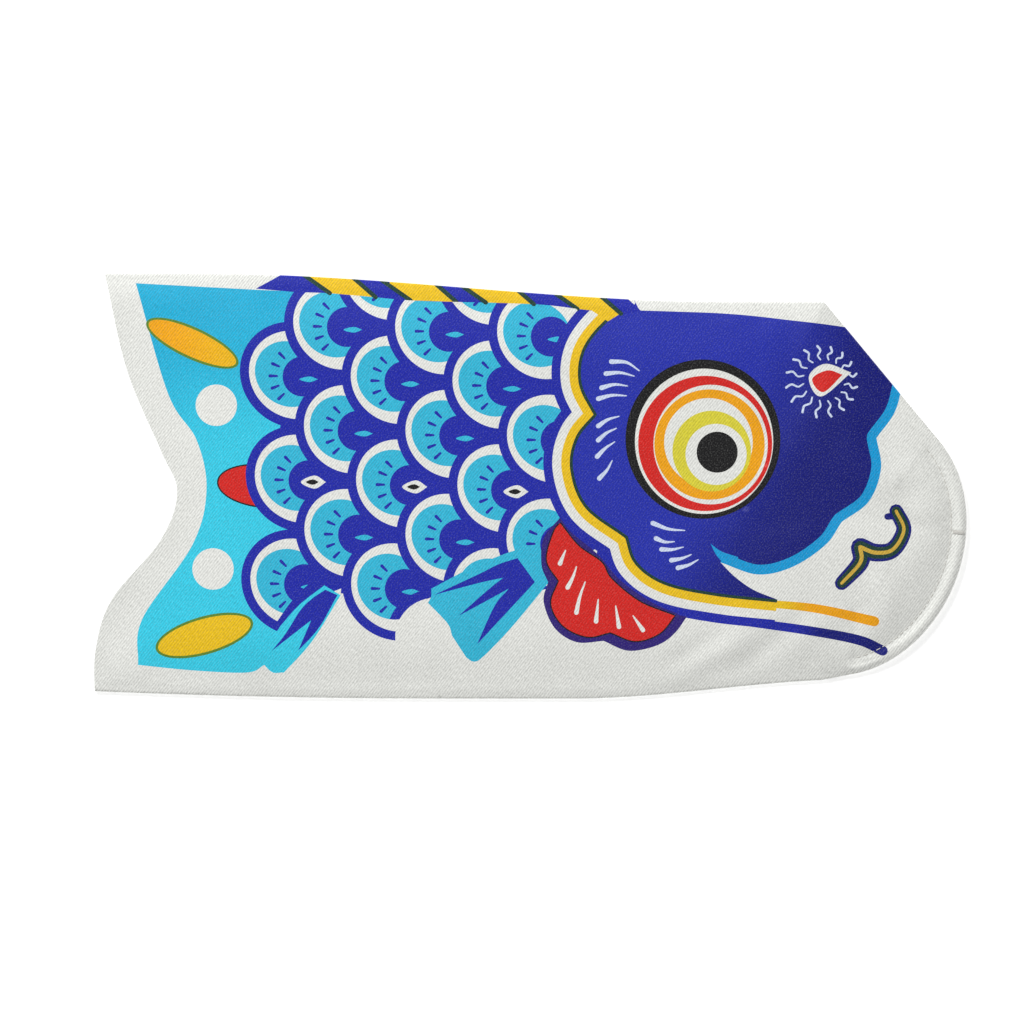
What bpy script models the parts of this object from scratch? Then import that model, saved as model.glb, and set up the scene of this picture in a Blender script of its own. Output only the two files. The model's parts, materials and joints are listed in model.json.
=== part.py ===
"""Carp streamer: a printed cloth sleeve lying flat, with a springy hoop in its mouth hem.

Frame: +X runs from the open tail to the mouth, +Y to the fish's back, +Z up.
The sleeve rests on z = 0, and the origin is the middle of that base.
All sizes are in metres.
"""

import math

import bmesh
import bpy
from mathutils import Vector

MM = 0.001

# Overall outline of the sleeve
LENGTH = 400 * MM
BACK_AT_TAIL = 97.5 * MM
BACK_AT_HEAD = 84.5 * MM
BELLY_DEPTH = 97.5 * MM
BELLY_RISE_AT_HEAD = 8.9 * MM
BELLY_RISE_AT_TAIL = 3.4 * MM

# Where the outline changes, measured back from the front of the mouth
BACK_CORNER_FROM_FRONT = 65.3 * MM
BACK_TAPER_FROM_FRONT = 110 * MM
BACK_TAPER_LENGTH = 240 * MM
BELLY_TURN_FROM_FRONT = 50 * MM
BELLY_TURN_LENGTH = 130 * MM
BELLY_LOW_FROM_TAIL = 160 * MM

# The cut tail edge: height of each point, and how far in from the tail's end it lies
TAIL_CUT = [
    (97.5 * MM, 4.7 * MM),
    (53.0 * MM, 15.0 * MM),
    (16.5 * MM, 30.4 * MM),
    (-2.5 * MM, 38.0 * MM),
    (-24.8 * MM, 30.4 * MM),
    (-52.0 * MM, 8.0 * MM),
    (-75.0 * MM, 0.6 * MM),
    (-97.5 * MM, 0.0 * MM),
]

# Cloth, seams and the space inside
CLOTH = 0.8 * MM
GAP = 0.3 * MM
SEAM_HEIGHT = 1.6 * MM
SEAM_WIDTH = 3.0 * MM
SEAM_FROM_EDGE = 1.2 * MM
INSIDE_HEIGHT = 7.5 * MM
SLOPE_WIDTH = 18 * MM

# The hoop and the hem that holds it, lying flat in the mouth
HOOP_LONG = 60.2 * MM
HOOP_SHORT = 48.2 * MM
HOOP_TILT = math.radians(21)
HOOP_Y = -25.3 * MM
HOOP_WIRE = 1.2 * MM
JOINER_WALL = 0.5 * MM
JOINER_LENGTH = 24 * MM
HOOP_END_GAP = 0.6 * MM
HOOP_JOIN_ANGLE = math.radians(232)
HEM_WALL = 0.5 * MM
HEM_SPLIT_GAP = 0.6 * MM

# Stitching
THREAD = 0.3 * MM
THREAD_FROM_HEM = 1.2 * MM
THREAD_GAP = 0.5 * MM
TACK_LENGTH = 6.0 * MM
TACK_WIDTH = 1.8 * MM
TACK_HEIGHT = 0.8 * MM

# Sections, and the cross folds between them
HEAD_LENGTH = 112 * MM
SHOULDER_LENGTH = 96 * MM
TRUNK_LENGTH = 96 * MM
FOLD_LIMIT = math.radians(60)
FOLD_GAP = 0.5 * MM

# Mesh fineness
CLOTH_ROWS = 14
CLOTH_COLUMNS = 12
RING_STEPS = 48
ROUND_SIDES = 10
THREAD_SIDES = 6

# Sizes that follow from those above
FRONT = LENGTH / 2
TAIL_END = -LENGTH / 2
JOINER_INNER = HOOP_WIRE + GAP
JOINER_OUTER = JOINER_INNER + JOINER_WALL
HEM_INNER = JOINER_OUTER + GAP
HEM_OUTER = HEM_INNER + HEM_WALL
HOOP_Z = HEM_OUTER
HEM_LONG = HOOP_LONG + HEM_OUTER
HEM_SHORT = HOOP_SHORT + HEM_OUTER
HEM_REACH_X = math.hypot(HEM_LONG * math.sin(HOOP_TILT), HEM_SHORT * math.cos(HOOP_TILT))
HOOP_X = FRONT - HEM_REACH_X
SEAM_BOTTOM = CLOTH + GAP
SEAM_TOP = SEAM_BOTTOM + SEAM_HEIGHT
FOLD_Z = SEAM_BOTTOM + SEAM_HEIGHT / 2
EDGE_UNDER = SEAM_TOP + GAP
HEM_CLEAR_UNDER = 2 * HEM_OUTER + 2 * GAP
CROWN_UNDER = max(CLOTH + INSIDE_HEIGHT, HEM_CLEAR_UNDER + CLOTH)
FOLD_1 = FRONT - HEAD_LENGTH
FOLD_2 = FOLD_1 - SHOULDER_LENGTH
FOLD_3 = FOLD_2 - TRUNK_LENGTH

WHITE_SATIN = (0.80, 0.80, 0.76)
HEAD_BLUE = (0.05, 0.07, 0.42)
SCALE_BLUE = (0.06, 0.40, 0.72)
TAIL_BLUE = (0.10, 0.55, 0.80)


def ease(value):
    """Turn 0..1 into a smooth step, held at its ends."""
    value = min(max(value, 0.0), 1.0)
    return value * value * (3 - 2 * value)


def back_edge(x):
    """Height of the back edge at x: level at the tail, then easing down to the head."""
    start = FRONT - BACK_TAPER_FROM_FRONT - BACK_TAPER_LENGTH
    drop = BACK_AT_TAIL - BACK_AT_HEAD
    return BACK_AT_TAIL - drop * ease((x - start) / BACK_TAPER_LENGTH)


def belly_edge(x):
    """Height of the belly edge at x: lowest behind the middle, rising to both ends."""
    low = TAIL_END + BELLY_LOW_FROM_TAIL
    to_tail = max(0.0, (low - x) / BELLY_LOW_FROM_TAIL)
    turn = FRONT - BELLY_TURN_FROM_FRONT - BELLY_TURN_LENGTH
    to_head = ease((x - turn) / BELLY_TURN_LENGTH)
    return -BELLY_DEPTH + BELLY_RISE_AT_TAIL * to_tail ** 2 + BELLY_RISE_AT_HEAD * to_head


def tail_edge(y):
    """X of the cut tail edge at height y, smooth through the points of TAIL_CUT."""
    points = TAIL_CUT
    y = min(max(y, points[-1][0]), points[0][0])
    index = next(i for i in range(len(points) - 1) if y >= points[i + 1][0])
    before = points[max(index - 1, 0)]
    start, end = points[index], points[index + 1]
    after = points[min(index + 2, len(points) - 1)]
    span = end[0] - start[0]
    slope_start = (end[1] - before[1]) / (end[0] - before[0])
    slope_end = (after[1] - start[1]) / (after[0] - start[0])
    t = (y - start[0]) / span
    inset = (
        (2 * t ** 3 - 3 * t ** 2 + 1) * start[1]
        + (t ** 3 - 2 * t ** 2 + t) * span * slope_start
        + (3 * t ** 2 - 2 * t ** 3) * end[1]
        + (t ** 3 - t ** 2) * span * slope_end
    )
    return TAIL_END + max(inset, 0.0)


def hoop_point(angle, offset=0.0):
    """Point on the hoop's oval, moved outwards by offset. Angle 0 is the oval's upper end."""
    along = HOOP_LONG * math.cos(angle)
    across = HOOP_SHORT * math.sin(angle)
    normal = Vector((math.cos(angle) / HOOP_LONG, math.sin(angle) / HOOP_SHORT)).normalized()
    along += offset * normal.x
    across += offset * normal.y
    x = HOOP_X + along * math.sin(HOOP_TILT) + across * math.cos(HOOP_TILT)
    y = HOOP_Y + along * math.cos(HOOP_TILT) - across * math.sin(HOOP_TILT)
    return Vector((x, y))


def tangent_angle(corner):
    """Angle on the hem's oval where a line from corner just touches its front."""
    best = 0.0
    best_slope = -math.inf
    for step in range(361):
        angle = math.pi * step / 360
        point = hoop_point(angle, HEM_OUTER)
        slope = math.atan2(point.y - corner.y, point.x - corner.x)
        if slope > best_slope:
            best, best_slope = angle, slope
    return best


BACK_CORNER = Vector((FRONT - BACK_CORNER_FROM_FRONT, back_edge(FRONT - BACK_CORNER_FROM_FRONT)))
FRONT_START = tangent_angle(BACK_CORNER)
FRONT_POINTS = [hoop_point(FRONT_START + (math.pi - FRONT_START) * i / 60, HEM_OUTER) for i in range(61)]


def front_edge(y):
    """X of the mouth's edge at height y: a straight fold, then the front of the hem's oval."""
    line = [BACK_CORNER] + FRONT_POINTS
    for upper, lower in zip(line, line[1:]):
        if lower.y <= y <= upper.y:
            share = (upper.y - y) / max(upper.y - lower.y, 1e-9)
            return upper.x + share * (lower.x - upper.x)
    return line[0].x if y > line[0].y else line[-1].x


def new_material(name, colour, roughness, metallic=0.0):
    """A plain Principled material."""
    material = bpy.data.materials.new(name)
    material.use_nodes = True
    shader = material.node_tree.nodes["Principled BSDF"]
    shader.inputs["Base Color"].default_value = (*colour, 1.0)
    shader.inputs["Roughness"].default_value = roughness
    shader.inputs["Metallic"].default_value = metallic
    material.diffuse_color = (*colour, 1.0)
    return material


def add_object(name, vertices, faces, material, parent, origin=(0.0, 0.0, 0.0)):
    """Make one mesh object from world points, with its own origin, under parent."""
    mesh = bpy.data.meshes.new(name)
    origin = Vector(origin)
    mesh.from_pydata([Vector(point) - origin for point in vertices], [], faces)
    work = bmesh.new()
    work.from_mesh(mesh)
    bmesh.ops.recalc_face_normals(work, faces=work.faces)
    work.to_mesh(mesh)
    work.free()
    mesh.shade_smooth()
    mesh.set_sharp_from_angle(angle=math.radians(35))
    mesh.materials.append(material)
    item = bpy.data.objects.new(name, mesh)
    bpy.context.collection.objects.link(item)
    item.parent = parent
    item.location = origin - parent.location
    return item


def add_body(name, x):
    """An empty that carries one section; it stands on the section's front fold."""
    empty = bpy.data.objects.new(name, None)
    empty.location = (x, 0.0, FOLD_Z)
    bpy.context.collection.objects.link(empty)
    return empty


def fold_setback(z):
    """How far cloth at height z stays back from a fold, so that it can close to its limit."""
    return FOLD_GAP / 2 + abs(z - FOLD_Z) * math.tan(FOLD_LIMIT / 2)


def sheet_mesh(grid, under, thickness):
    """Vertices and faces of a closed sheet over a grid of (x, y) points."""
    rows, columns = len(grid), len(grid[0])
    vertices = []
    for lift in (0.0, thickness):
        for row in grid:
            vertices.extend((x, y, under(x, y) + lift) for x, y in row)
    layer = rows * columns
    faces = []
    for i in range(rows - 1):
        for j in range(columns - 1):
            a = i * columns + j
            faces.append((a, a + 1, a + columns + 1, a + columns))
            faces.append((layer + a, layer + a + columns, layer + a + columns + 1, layer + a + 1))
    rim = [j for j in range(columns)]
    rim += [i * columns + columns - 1 for i in range(1, rows)]
    rim += [(rows - 1) * columns + j for j in range(columns - 2, -1, -1)]
    rim += [i * columns for i in range(rows - 2, 0, -1)]
    for a, b in zip(rim, rim[1:] + rim[:1]):
        faces.append((a, b, layer + b, layer + a))
    return vertices, faces


def section_grid(start, end):
    """Grid of points between two end curves, each given as x for a height y."""
    grid = []
    for i in range(CLOTH_ROWS + 1):
        row = []
        for j in range(CLOTH_COLUMNS + 1):
            across = 0.5 - 0.5 * math.cos(math.pi * j / CLOTH_COLUMNS)
            x = 0.0
            y = 0.0
            for _ in range(4):
                y = belly_edge(x) + across * (back_edge(x) - belly_edge(x))
                x = start(y) + (end(y) - start(y)) * i / CLOTH_ROWS
            row.append((x, y))
        grid.append(row)
    return grid


def upper_under(x, y):
    """Underside of the upper cloth: low along its seams, crowned between, clear of the hem."""
    near_hem = ease((x - FOLD_1 - CROWN_UNDER) / SLOPE_WIDTH)
    edge = EDGE_UNDER + (HEM_CLEAR_UNDER - EDGE_UNDER) * near_hem
    inward = min(back_edge(x) - y, y - belly_edge(x))
    if x > FOLD_1:
        inward = min(inward, front_edge(y) - x)
    return edge + (CROWN_UNDER - edge) * ease(inward / SLOPE_WIDTH)


def build_upper_panel(name, start, end, material, parent):
    """The printed cloth that faces up, over one section."""
    vertices, faces = sheet_mesh(section_grid(start, end), upper_under, CLOTH)
    return add_object(name, vertices, faces, material, parent, parent.location)


def build_lower_panel(name, start, end, material, parent):
    """The printed cloth that the section lies on."""
    vertices, faces = sheet_mesh(section_grid(start, end), lambda x, y: 0.0, CLOTH)
    return add_object(name, vertices, faces, material, parent, parent.location)


def build_lower_head_panel(name, start, material, parent):
    """The lower cloth behind the hoop: a plate that stops at the hem's oval."""
    steps = 10
    belly_end = hoop_point(math.pi, HEM_OUTER).x
    belly = [start + (belly_end - start) * i / steps for i in range(steps + 1)]
    tangent = hoop_point(FRONT_START, HEM_OUTER)
    outline = [(x, belly_edge(x)) for x in belly]
    outline.append((HOOP_X, HOOP_Y))
    outline.append(tuple(BACK_CORNER.lerp(tangent, 0.7)))
    outline.append(tuple(BACK_CORNER))
    outline.extend((x, back_edge(x)) for x in (FRONT - BACK_TAPER_FROM_FRONT, start) if x < BACK_CORNER.x)
    outline = [point for i, point in enumerate(outline) if point != outline[i - 1]]
    count = len(outline)
    vertices = [(x, y, 0.0) for x, y in outline] + [(x, y, CLOTH) for x, y in outline]
    faces = [tuple(range(count)), tuple(range(2 * count - 1, count - 1, -1))]
    faces += [(i, (i + 1) % count, count + (i + 1) % count, count + i) for i in range(count)]
    panel = add_object(name, vertices, faces, material, parent, parent.location)

    foot = HEM_OUTER - CLOTH
    hem_foot_width = math.sqrt(HEM_OUTER ** 2 - foot ** 2)
    oval = [hoop_point(2 * math.pi * i / RING_STEPS, hem_foot_width + GAP) for i in range(RING_STEPS)]
    low = [(point.x, point.y, -CLOTH) for point in oval]
    high = [(point.x, point.y, 2 * CLOTH) for point in oval]
    sides = [(i, (i + 1) % RING_STEPS, RING_STEPS + (i + 1) % RING_STEPS, RING_STEPS + i) for i in range(RING_STEPS)]
    ends = [tuple(range(RING_STEPS)), tuple(range(2 * RING_STEPS - 1, RING_STEPS - 1, -1))]
    cutter = add_object(name + "_cutter", low + high, sides + ends, material, parent)
    cutter.hide_render = True
    cutter.display_type = "WIRE"
    cut = panel.modifiers.new("hoop opening", "BOOLEAN")
    cut.operation = "DIFFERENCE"
    cut.solver = "EXACT"
    cut.object = cutter
    return panel


def build_seam(name, edge, side, start, end, start_is_fold, end_is_fold, material, parent):
    """The sewn edge between the two cloths: a strip whose ends taper to mid-height at a fold."""
    steps = CLOTH_ROWS
    taper = SEAM_HEIGHT / 2 * math.tan(FOLD_LIMIT / 2)
    low, middle, high = SEAM_BOTTOM, FOLD_Z, SEAM_TOP
    vertices = []
    for i in range(steps + 1):
        x = start + (end - start) * i / steps
        pull = 0.0
        if i == 0 and start_is_fold:
            pull = taper
        if i == steps and end_is_fold:
            pull = -taper
        for inset, z in (
            (SEAM_FROM_EDGE, low),
            (SEAM_FROM_EDGE, middle),
            (SEAM_FROM_EDGE, high),
            (SEAM_FROM_EDGE + SEAM_WIDTH, high),
            (SEAM_FROM_EDGE + SEAM_WIDTH, middle),
            (SEAM_FROM_EDGE + SEAM_WIDTH, low),
        ):
            at = x if z == middle else x + pull
            vertices.append((at, edge(at) - side * inset, z))
    faces = []
    for i in range(steps):
        for j in range(6):
            a, b = 6 * i + j, 6 * i + (j + 1) % 6
            faces.append((a, b, b + 6, a + 6))
    last = 6 * steps
    for first in (0, last):
        faces.append((first, first + 1, first + 4, first + 5))
        faces.append((first + 1, first + 2, first + 3, first + 4))
    return add_object(name, vertices, faces, material, parent, parent.location)


def ring_frame(angle):
    """Centre and outward direction of the hoop's oval at an angle."""
    centre = hoop_point(angle)
    outward = (hoop_point(angle, HOOP_WIRE) - centre).normalized()
    return centre, outward


def tube_mesh(angles, outer, inner=0.0):
    """A round bar, or a tube open at both ends, along part of the hoop's oval."""
    loops = [outer] if inner == 0.0 else [outer, inner]
    vertices = []
    for angle in angles:
        centre, outward = ring_frame(angle)
        for radius in loops:
            for k in range(ROUND_SIDES):
                turn = 2 * math.pi * k / ROUND_SIDES + math.pi / 2
                flat = centre + outward * radius * math.cos(turn)
                vertices.append((flat.x, flat.y, HOOP_Z + radius * math.sin(turn)))
    stride = ROUND_SIDES * len(loops)
    faces = []
    for i in range(len(angles) - 1):
        for loop in range(len(loops)):
            for k in range(ROUND_SIDES):
                a = i * stride + loop * ROUND_SIDES + k
                b = i * stride + loop * ROUND_SIDES + (k + 1) % ROUND_SIDES
                face = (a, b, b + stride, a + stride)
                faces.append(face if loop == 0 else face[::-1])
    for first, flip in ((0, False), ((len(angles) - 1) * stride, True)):
        if inner == 0.0:
            ends = [tuple(first + k for k in range(ROUND_SIDES))]
        else:
            ends = [
                (
                    first + k,
                    first + ROUND_SIDES + k,
                    first + ROUND_SIDES + (k + 1) % ROUND_SIDES,
                    first + (k + 1) % ROUND_SIDES,
                )
                for k in range(ROUND_SIDES)
            ]
        faces.extend(face[::-1] if flip else face for face in ends)
    return vertices, faces


def arc(start, end, steps):
    """Evenly spaced angles from start to end."""
    return [start + (end - start) * i / steps for i in range(steps + 1)]


def angle_span(length, angle):
    """The angle that takes up a length along the oval near an angle."""
    step = 0.01
    return step * length / (hoop_point(angle + step) - hoop_point(angle)).length


def build_hoop(material, parent):
    """The springy hoop: one bar bent into an oval, its ends meeting in the joiner."""
    half = angle_span(HOOP_END_GAP / 2, HOOP_JOIN_ANGLE)
    angles = arc(HOOP_JOIN_ANGLE + half, HOOP_JOIN_ANGLE + 2 * math.pi - half, RING_STEPS)
    vertices, faces = tube_mesh(angles, HOOP_WIRE)
    return add_object("mouth_hoop", vertices, faces, material, parent, parent.location)


def build_joiner(material, parent):
    """The small tube that both ends of the hoop push into."""
    half = angle_span(JOINER_LENGTH / 2, HOOP_JOIN_ANGLE)
    angles = arc(HOOP_JOIN_ANGLE - half, HOOP_JOIN_ANGLE + half, 8)
    vertices, faces = tube_mesh(angles, JOINER_OUTER, JOINER_INNER)
    return add_object("hoop_joiner", vertices, faces, material, parent, parent.location)


def build_hem(name, start, end, material, parent):
    """One half of the mouth hem: a cloth channel round the hoop, open at both ends."""
    half_start = angle_span(HEM_SPLIT_GAP / 2, start)
    half_end = angle_span(HEM_SPLIT_GAP / 2, end)
    angles = arc(start + half_start, end - half_end, RING_STEPS // 2)
    vertices, faces = tube_mesh(angles, HEM_OUTER, HEM_INNER)
    return add_object(name, vertices, faces, material, parent, parent.location)


def build_thread(name, start, end, offset, height, material, parent):
    """A line of stitching that follows the hem, as one thread of the sewing machine."""
    angles = arc(start, end, RING_STEPS // 2)
    vertices = []
    for angle in angles:
        centre = hoop_point(angle, offset)
        outward = ring_frame(angle)[1]
        for k in range(THREAD_SIDES):
            turn = 2 * math.pi * k / THREAD_SIDES
            flat = centre + outward * THREAD * math.cos(turn)
            vertices.append((flat.x, flat.y, height(centre) + THREAD * math.sin(turn)))
    faces = []
    for i in range(len(angles) - 1):
        for k in range(THREAD_SIDES):
            a = i * THREAD_SIDES + k
            b = i * THREAD_SIDES + (k + 1) % THREAD_SIDES
            faces.append((a, b, b + THREAD_SIDES, a + THREAD_SIDES))
    last = (len(angles) - 1) * THREAD_SIDES
    faces.append(tuple(range(THREAD_SIDES)))
    faces.append(tuple(last + k for k in reversed(range(THREAD_SIDES))))
    return add_object(name, vertices, faces, material, parent, parent.location)


def build_tack(name, angle, bottom, material, parent):
    """A bar tack across the hem, where the carrying string ties on."""
    centre, outward = ring_frame(angle)
    side = Vector((-outward.y, outward.x))
    corners = []
    for along, across in ((-1, -1), (1, -1), (1, 1), (-1, 1)):
        point = centre - outward * GAP * 2 + outward * along * TACK_LENGTH / 2 + side * across * TACK_WIDTH / 2
        corners.append(point)
    vertices = [(p.x, p.y, bottom) for p in corners] + [(p.x, p.y, bottom + TACK_HEIGHT) for p in corners]
    faces = [(3, 2, 1, 0), (4, 5, 6, 7), (0, 1, 5, 4), (1, 2, 6, 5), (2, 3, 7, 6), (3, 0, 4, 7)]
    return add_object(name, vertices, faces, material, parent, parent.location)


def build_section(name, front, back, colour, parent):
    """Both cloths and both seams of one section. A fold bounds it at front and at back."""
    panel = new_material(name + " cloth", colour, 0.5)
    thread = new_material(name + " seam", WHITE_SATIN, 0.7)
    crown = CROWN_UNDER + CLOTH
    is_head = front is None
    is_tail = back is None

    def upper_end(y):
        return front_edge(y) if is_head else front - fold_setback(crown)

    def upper_start(y):
        return tail_edge(y) if is_tail else back + fold_setback(crown)

    def lower_end(_):
        return front - fold_setback(0.0)

    def lower_start(y):
        return tail_edge(y) if is_tail else back + fold_setback(0.0)

    build_upper_panel("right_panel_" + name, upper_start, upper_end, panel, parent)
    if is_head:
        build_lower_head_panel("left_panel_" + name, lower_start(0.0), panel, parent)
    else:
        build_lower_panel("left_panel_" + name, lower_start, lower_end, panel, parent)

    for seam, edge, side in (("back", back_edge, 1), ("belly", belly_edge, -1)):
        seam_front = BACK_CORNER.x if seam == "back" else hoop_point(math.pi, HEM_OUTER).x - HEM_OUTER
        seam_back = tail_edge(edge(TAIL_END)) + SEAM_FROM_EDGE
        start = seam_back if is_tail else back + FOLD_GAP / 2
        end = seam_front - SEAM_WIDTH - SEAM_FROM_EDGE if is_head else front - FOLD_GAP / 2
        build_seam(f"{seam}_seam_{name}", edge, side, start, end, not is_tail, not is_head, thread, parent)


def build_mouth(parent):
    """The hoop, its joiner, the two halves of the hem, and their stitching."""
    hem_cloth = new_material("mouth hem cloth", WHITE_SATIN, 0.5)
    thread = new_material("sewing thread", (0.86, 0.86, 0.83), 0.7)
    build_hoop(new_material("hoop plastic", (0.75, 0.76, 0.74), 0.35), parent)
    build_joiner(new_material("joiner plastic", (0.62, 0.63, 0.62), 0.45), parent)
    build_hem("mouth_hem_right", 0.0, math.pi, hem_cloth, parent)
    build_hem("mouth_hem_left", math.pi, 2 * math.pi, hem_cloth, parent)

    inside = -HEM_OUTER - THREAD_FROM_HEM
    outside = HEM_OUTER + THREAD_FROM_HEM

    def over_upper(point):
        return upper_under(point.x, point.y) + CLOTH + THREAD_GAP + THREAD

    def over_lower(_):
        return CLOTH + GAP + THREAD

    build_thread("hem_stitch_right", math.radians(25), math.radians(150), inside, over_upper, thread, parent)
    build_thread("hem_stitch_left", math.radians(205), math.radians(335), outside, over_lower, thread, parent)

    front_tack = math.radians(69)
    inner_end = hoop_point(front_tack, -TACK_LENGTH / 2 - 2 * GAP)
    tack_seat = upper_under(inner_end.x, inner_end.y) + CLOTH + GAP
    build_tack("string_tack_right", front_tack, tack_seat, thread, parent)
    build_tack("string_tack_left", front_tack + math.pi, HOOP_Z + HEM_OUTER + GAP, thread, parent)


def main():
    """Clear the scene and build the streamer, from its mouth to its tail."""
    for item in list(bpy.data.objects):
        bpy.data.objects.remove(item)
    head = add_body("head_frame", FOLD_1)
    shoulder = add_body("shoulder_frame", FOLD_1)
    trunk = add_body("trunk_frame", FOLD_2)
    tail = add_body("tail_frame", FOLD_3)
    build_mouth(head)
    build_section("head", None, FOLD_1, HEAD_BLUE, head)
    build_section("shoulder", FOLD_1, FOLD_2, SCALE_BLUE, shoulder)
    build_section("trunk", FOLD_2, FOLD_3, SCALE_BLUE, trunk)
    build_section("tail", FOLD_3, None, TAIL_BLUE, tail)


main()
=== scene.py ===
"""Carp streamer, dressed: a printed cloth sleeve that lies flat, with a sprung hoop in its mouth.

The fixed frame holds the sleeve's sizes and folds. This script cuts the printed cloth to the
frame's outline, sews its seams and its mouth hem, and gives each piece its finish.
Lengths are in millimetres until a mesh is made, and +X runs from the tail to the mouth.
"""

import json
import logging
import math
from dataclasses import dataclass, field
from enum import Enum
from typing import Any, Callable, Sequence

import bpy
import numpy as np
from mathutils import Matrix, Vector
from mathutils.geometry import delaunay_2d_cdt


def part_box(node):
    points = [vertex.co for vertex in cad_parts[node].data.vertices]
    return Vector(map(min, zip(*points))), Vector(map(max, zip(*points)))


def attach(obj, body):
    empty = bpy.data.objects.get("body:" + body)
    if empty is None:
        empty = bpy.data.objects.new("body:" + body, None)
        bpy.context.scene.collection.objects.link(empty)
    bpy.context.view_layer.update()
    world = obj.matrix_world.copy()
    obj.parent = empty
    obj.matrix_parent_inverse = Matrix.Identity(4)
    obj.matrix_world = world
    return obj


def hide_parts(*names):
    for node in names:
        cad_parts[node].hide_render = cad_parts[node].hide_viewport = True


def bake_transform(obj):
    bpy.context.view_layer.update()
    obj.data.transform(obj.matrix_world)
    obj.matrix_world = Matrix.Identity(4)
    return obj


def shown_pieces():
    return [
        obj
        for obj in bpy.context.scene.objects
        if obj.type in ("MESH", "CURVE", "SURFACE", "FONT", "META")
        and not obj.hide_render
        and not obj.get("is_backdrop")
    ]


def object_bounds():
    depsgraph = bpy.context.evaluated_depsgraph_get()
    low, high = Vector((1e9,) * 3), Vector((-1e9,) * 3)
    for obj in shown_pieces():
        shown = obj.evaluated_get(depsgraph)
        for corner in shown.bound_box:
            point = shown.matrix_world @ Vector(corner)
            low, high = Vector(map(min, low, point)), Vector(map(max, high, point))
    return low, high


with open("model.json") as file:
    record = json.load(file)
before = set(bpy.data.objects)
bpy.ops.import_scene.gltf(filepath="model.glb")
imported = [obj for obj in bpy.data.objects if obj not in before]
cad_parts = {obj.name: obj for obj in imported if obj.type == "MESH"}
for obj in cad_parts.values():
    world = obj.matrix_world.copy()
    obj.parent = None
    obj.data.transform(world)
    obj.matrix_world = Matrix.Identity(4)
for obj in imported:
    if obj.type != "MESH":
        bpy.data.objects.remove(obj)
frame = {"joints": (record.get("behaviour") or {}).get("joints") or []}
CAD_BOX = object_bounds()

log = logging.getLogger("carp_streamer")
MM = 0.001
SPLITS = (-56.0, 40.0)  # where the cloth's three lengths meet
SEAM_START = {"back": 5.5, "belly": 0.8}  # how far from the tail each seam begins
SEAM_END = 132.0
MOUTH_CLEARANCE = 1.4  # how far the lower cloth stays outside the hem
HOOP_MEAN_RADIUS = 52.0
RING_SIDES = 16
FLOOR_DROP = 0.0001  # metres, so that the cloth and the floor share no face


class Ink(Enum):
    """Printing inks, each with its screen colour."""

    CLOTH = (238, 239, 234)
    BODY_BLUE = (24, 36, 172)
    HEAD_BLUE = (32, 46, 176)
    SNOUT_NAVY = (6, 16, 122)
    FAN_BLUE = (50, 190, 224)
    TAIL_AZURE = (26, 180, 222)
    TAIL_CYAN = (56, 212, 240)
    SNOUT_EDGE = (8, 158, 220)
    FIN_NAVY = (46, 26, 122)
    RED = (220, 32, 26)
    YELLOW = (244, 200, 22)
    LEMON = (226, 216, 60)
    ORANGE = (248, 170, 4)
    GREEN = (22, 62, 50)
    RIM_GREEN = (96, 138, 44)
    BLACK = (14, 13, 16)
    GOLD = (214, 176, 66)
    RAY = (214, 226, 250)


Point = tuple[float, float]


def smooth_run(points: Sequence[Point], step: float = 1.2) -> list[Point]:
    """Draw one smooth curve through points.

    Args:
        points: The run's points in millimetres; two points make a straight run.
        step: Longest distance between the points that are returned.

    Returns:
        Points along the curve, from the first to the last.
    """
    if len(points) == 2:
        return list(points)
    run = np.array([points[0], *points, points[-1]], float)
    run[0] = 2 * run[1] - run[2]
    run[-1] = 2 * run[-2] - run[-3]
    drawn = []
    for before, start, end, after in zip(run, run[1:], run[2:], run[3:]):
        count = max(2, math.ceil(float(np.linalg.norm(end - start)) / step))
        for index in range(count):
            t = index / count
            point = 0.5 * (
                2 * start
                + (end - before) * t
                + (2 * before - 5 * start + 4 * end - after) * t**2
                + (3 * start - before - 3 * end + after) * t**3
            )
            drawn.append((float(point[0]), float(point[1])))
    drawn.append((float(run[-2][0]), float(run[-2][1])))
    return drawn


def outline(*runs: Sequence[Point]) -> list[Point]:
    """Close an outline from runs that each start where the one before ends.

    Args:
        runs: Smooth runs; the corners are where they meet, and the last run goes back to the start.

    Returns:
        The closed outline's points.
    """
    start = runs[0][0]
    drawn: list[Point] = [start]
    for index, run in enumerate(runs):
        points = list(run) if index == 0 else [drawn[-1], *run]
        if index == len(runs) - 1:
            points = [*points, start]
        drawn.extend(smooth_run(points)[1:])
    return drawn[:-1]


def ellipse(centre: Point, long: float, short: float, tilt: float = 0.0) -> list[Point]:
    """Closed outline of an ellipse.

    Args:
        centre: Its middle.
        long: Half its length.
        short: Half its width.
        tilt: Angle of its length, in degrees.

    Returns:
        The outline's points.
    """
    count = max(12, round(2.2 * math.sqrt(long * 40)))
    turn = math.radians(tilt)
    drawn = []
    for index in range(count):
        angle = math.tau * index / count
        along, across = long * math.cos(angle), short * math.sin(angle)
        drawn.append((
            centre[0] + along * math.cos(turn) - across * math.sin(turn),
            centre[1] + along * math.sin(turn) + across * math.cos(turn),
        ))
    return drawn


def shifted(line: Sequence[Point], width: float) -> list[Point]:
    """The same line moved sideways, to its left for a positive width.

    Args:
        line: The line's points.
        width: How far to move it.

    Returns:
        The moved points.
    """
    run = np.array(line, float)
    way = np.gradient(run, axis=0)
    way /= np.linalg.norm(way, axis=1)[:, None]
    moved = run + width * np.column_stack((-way[:, 1], way[:, 0]))
    return [(float(x), float(y)) for x, y in moved]


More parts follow.
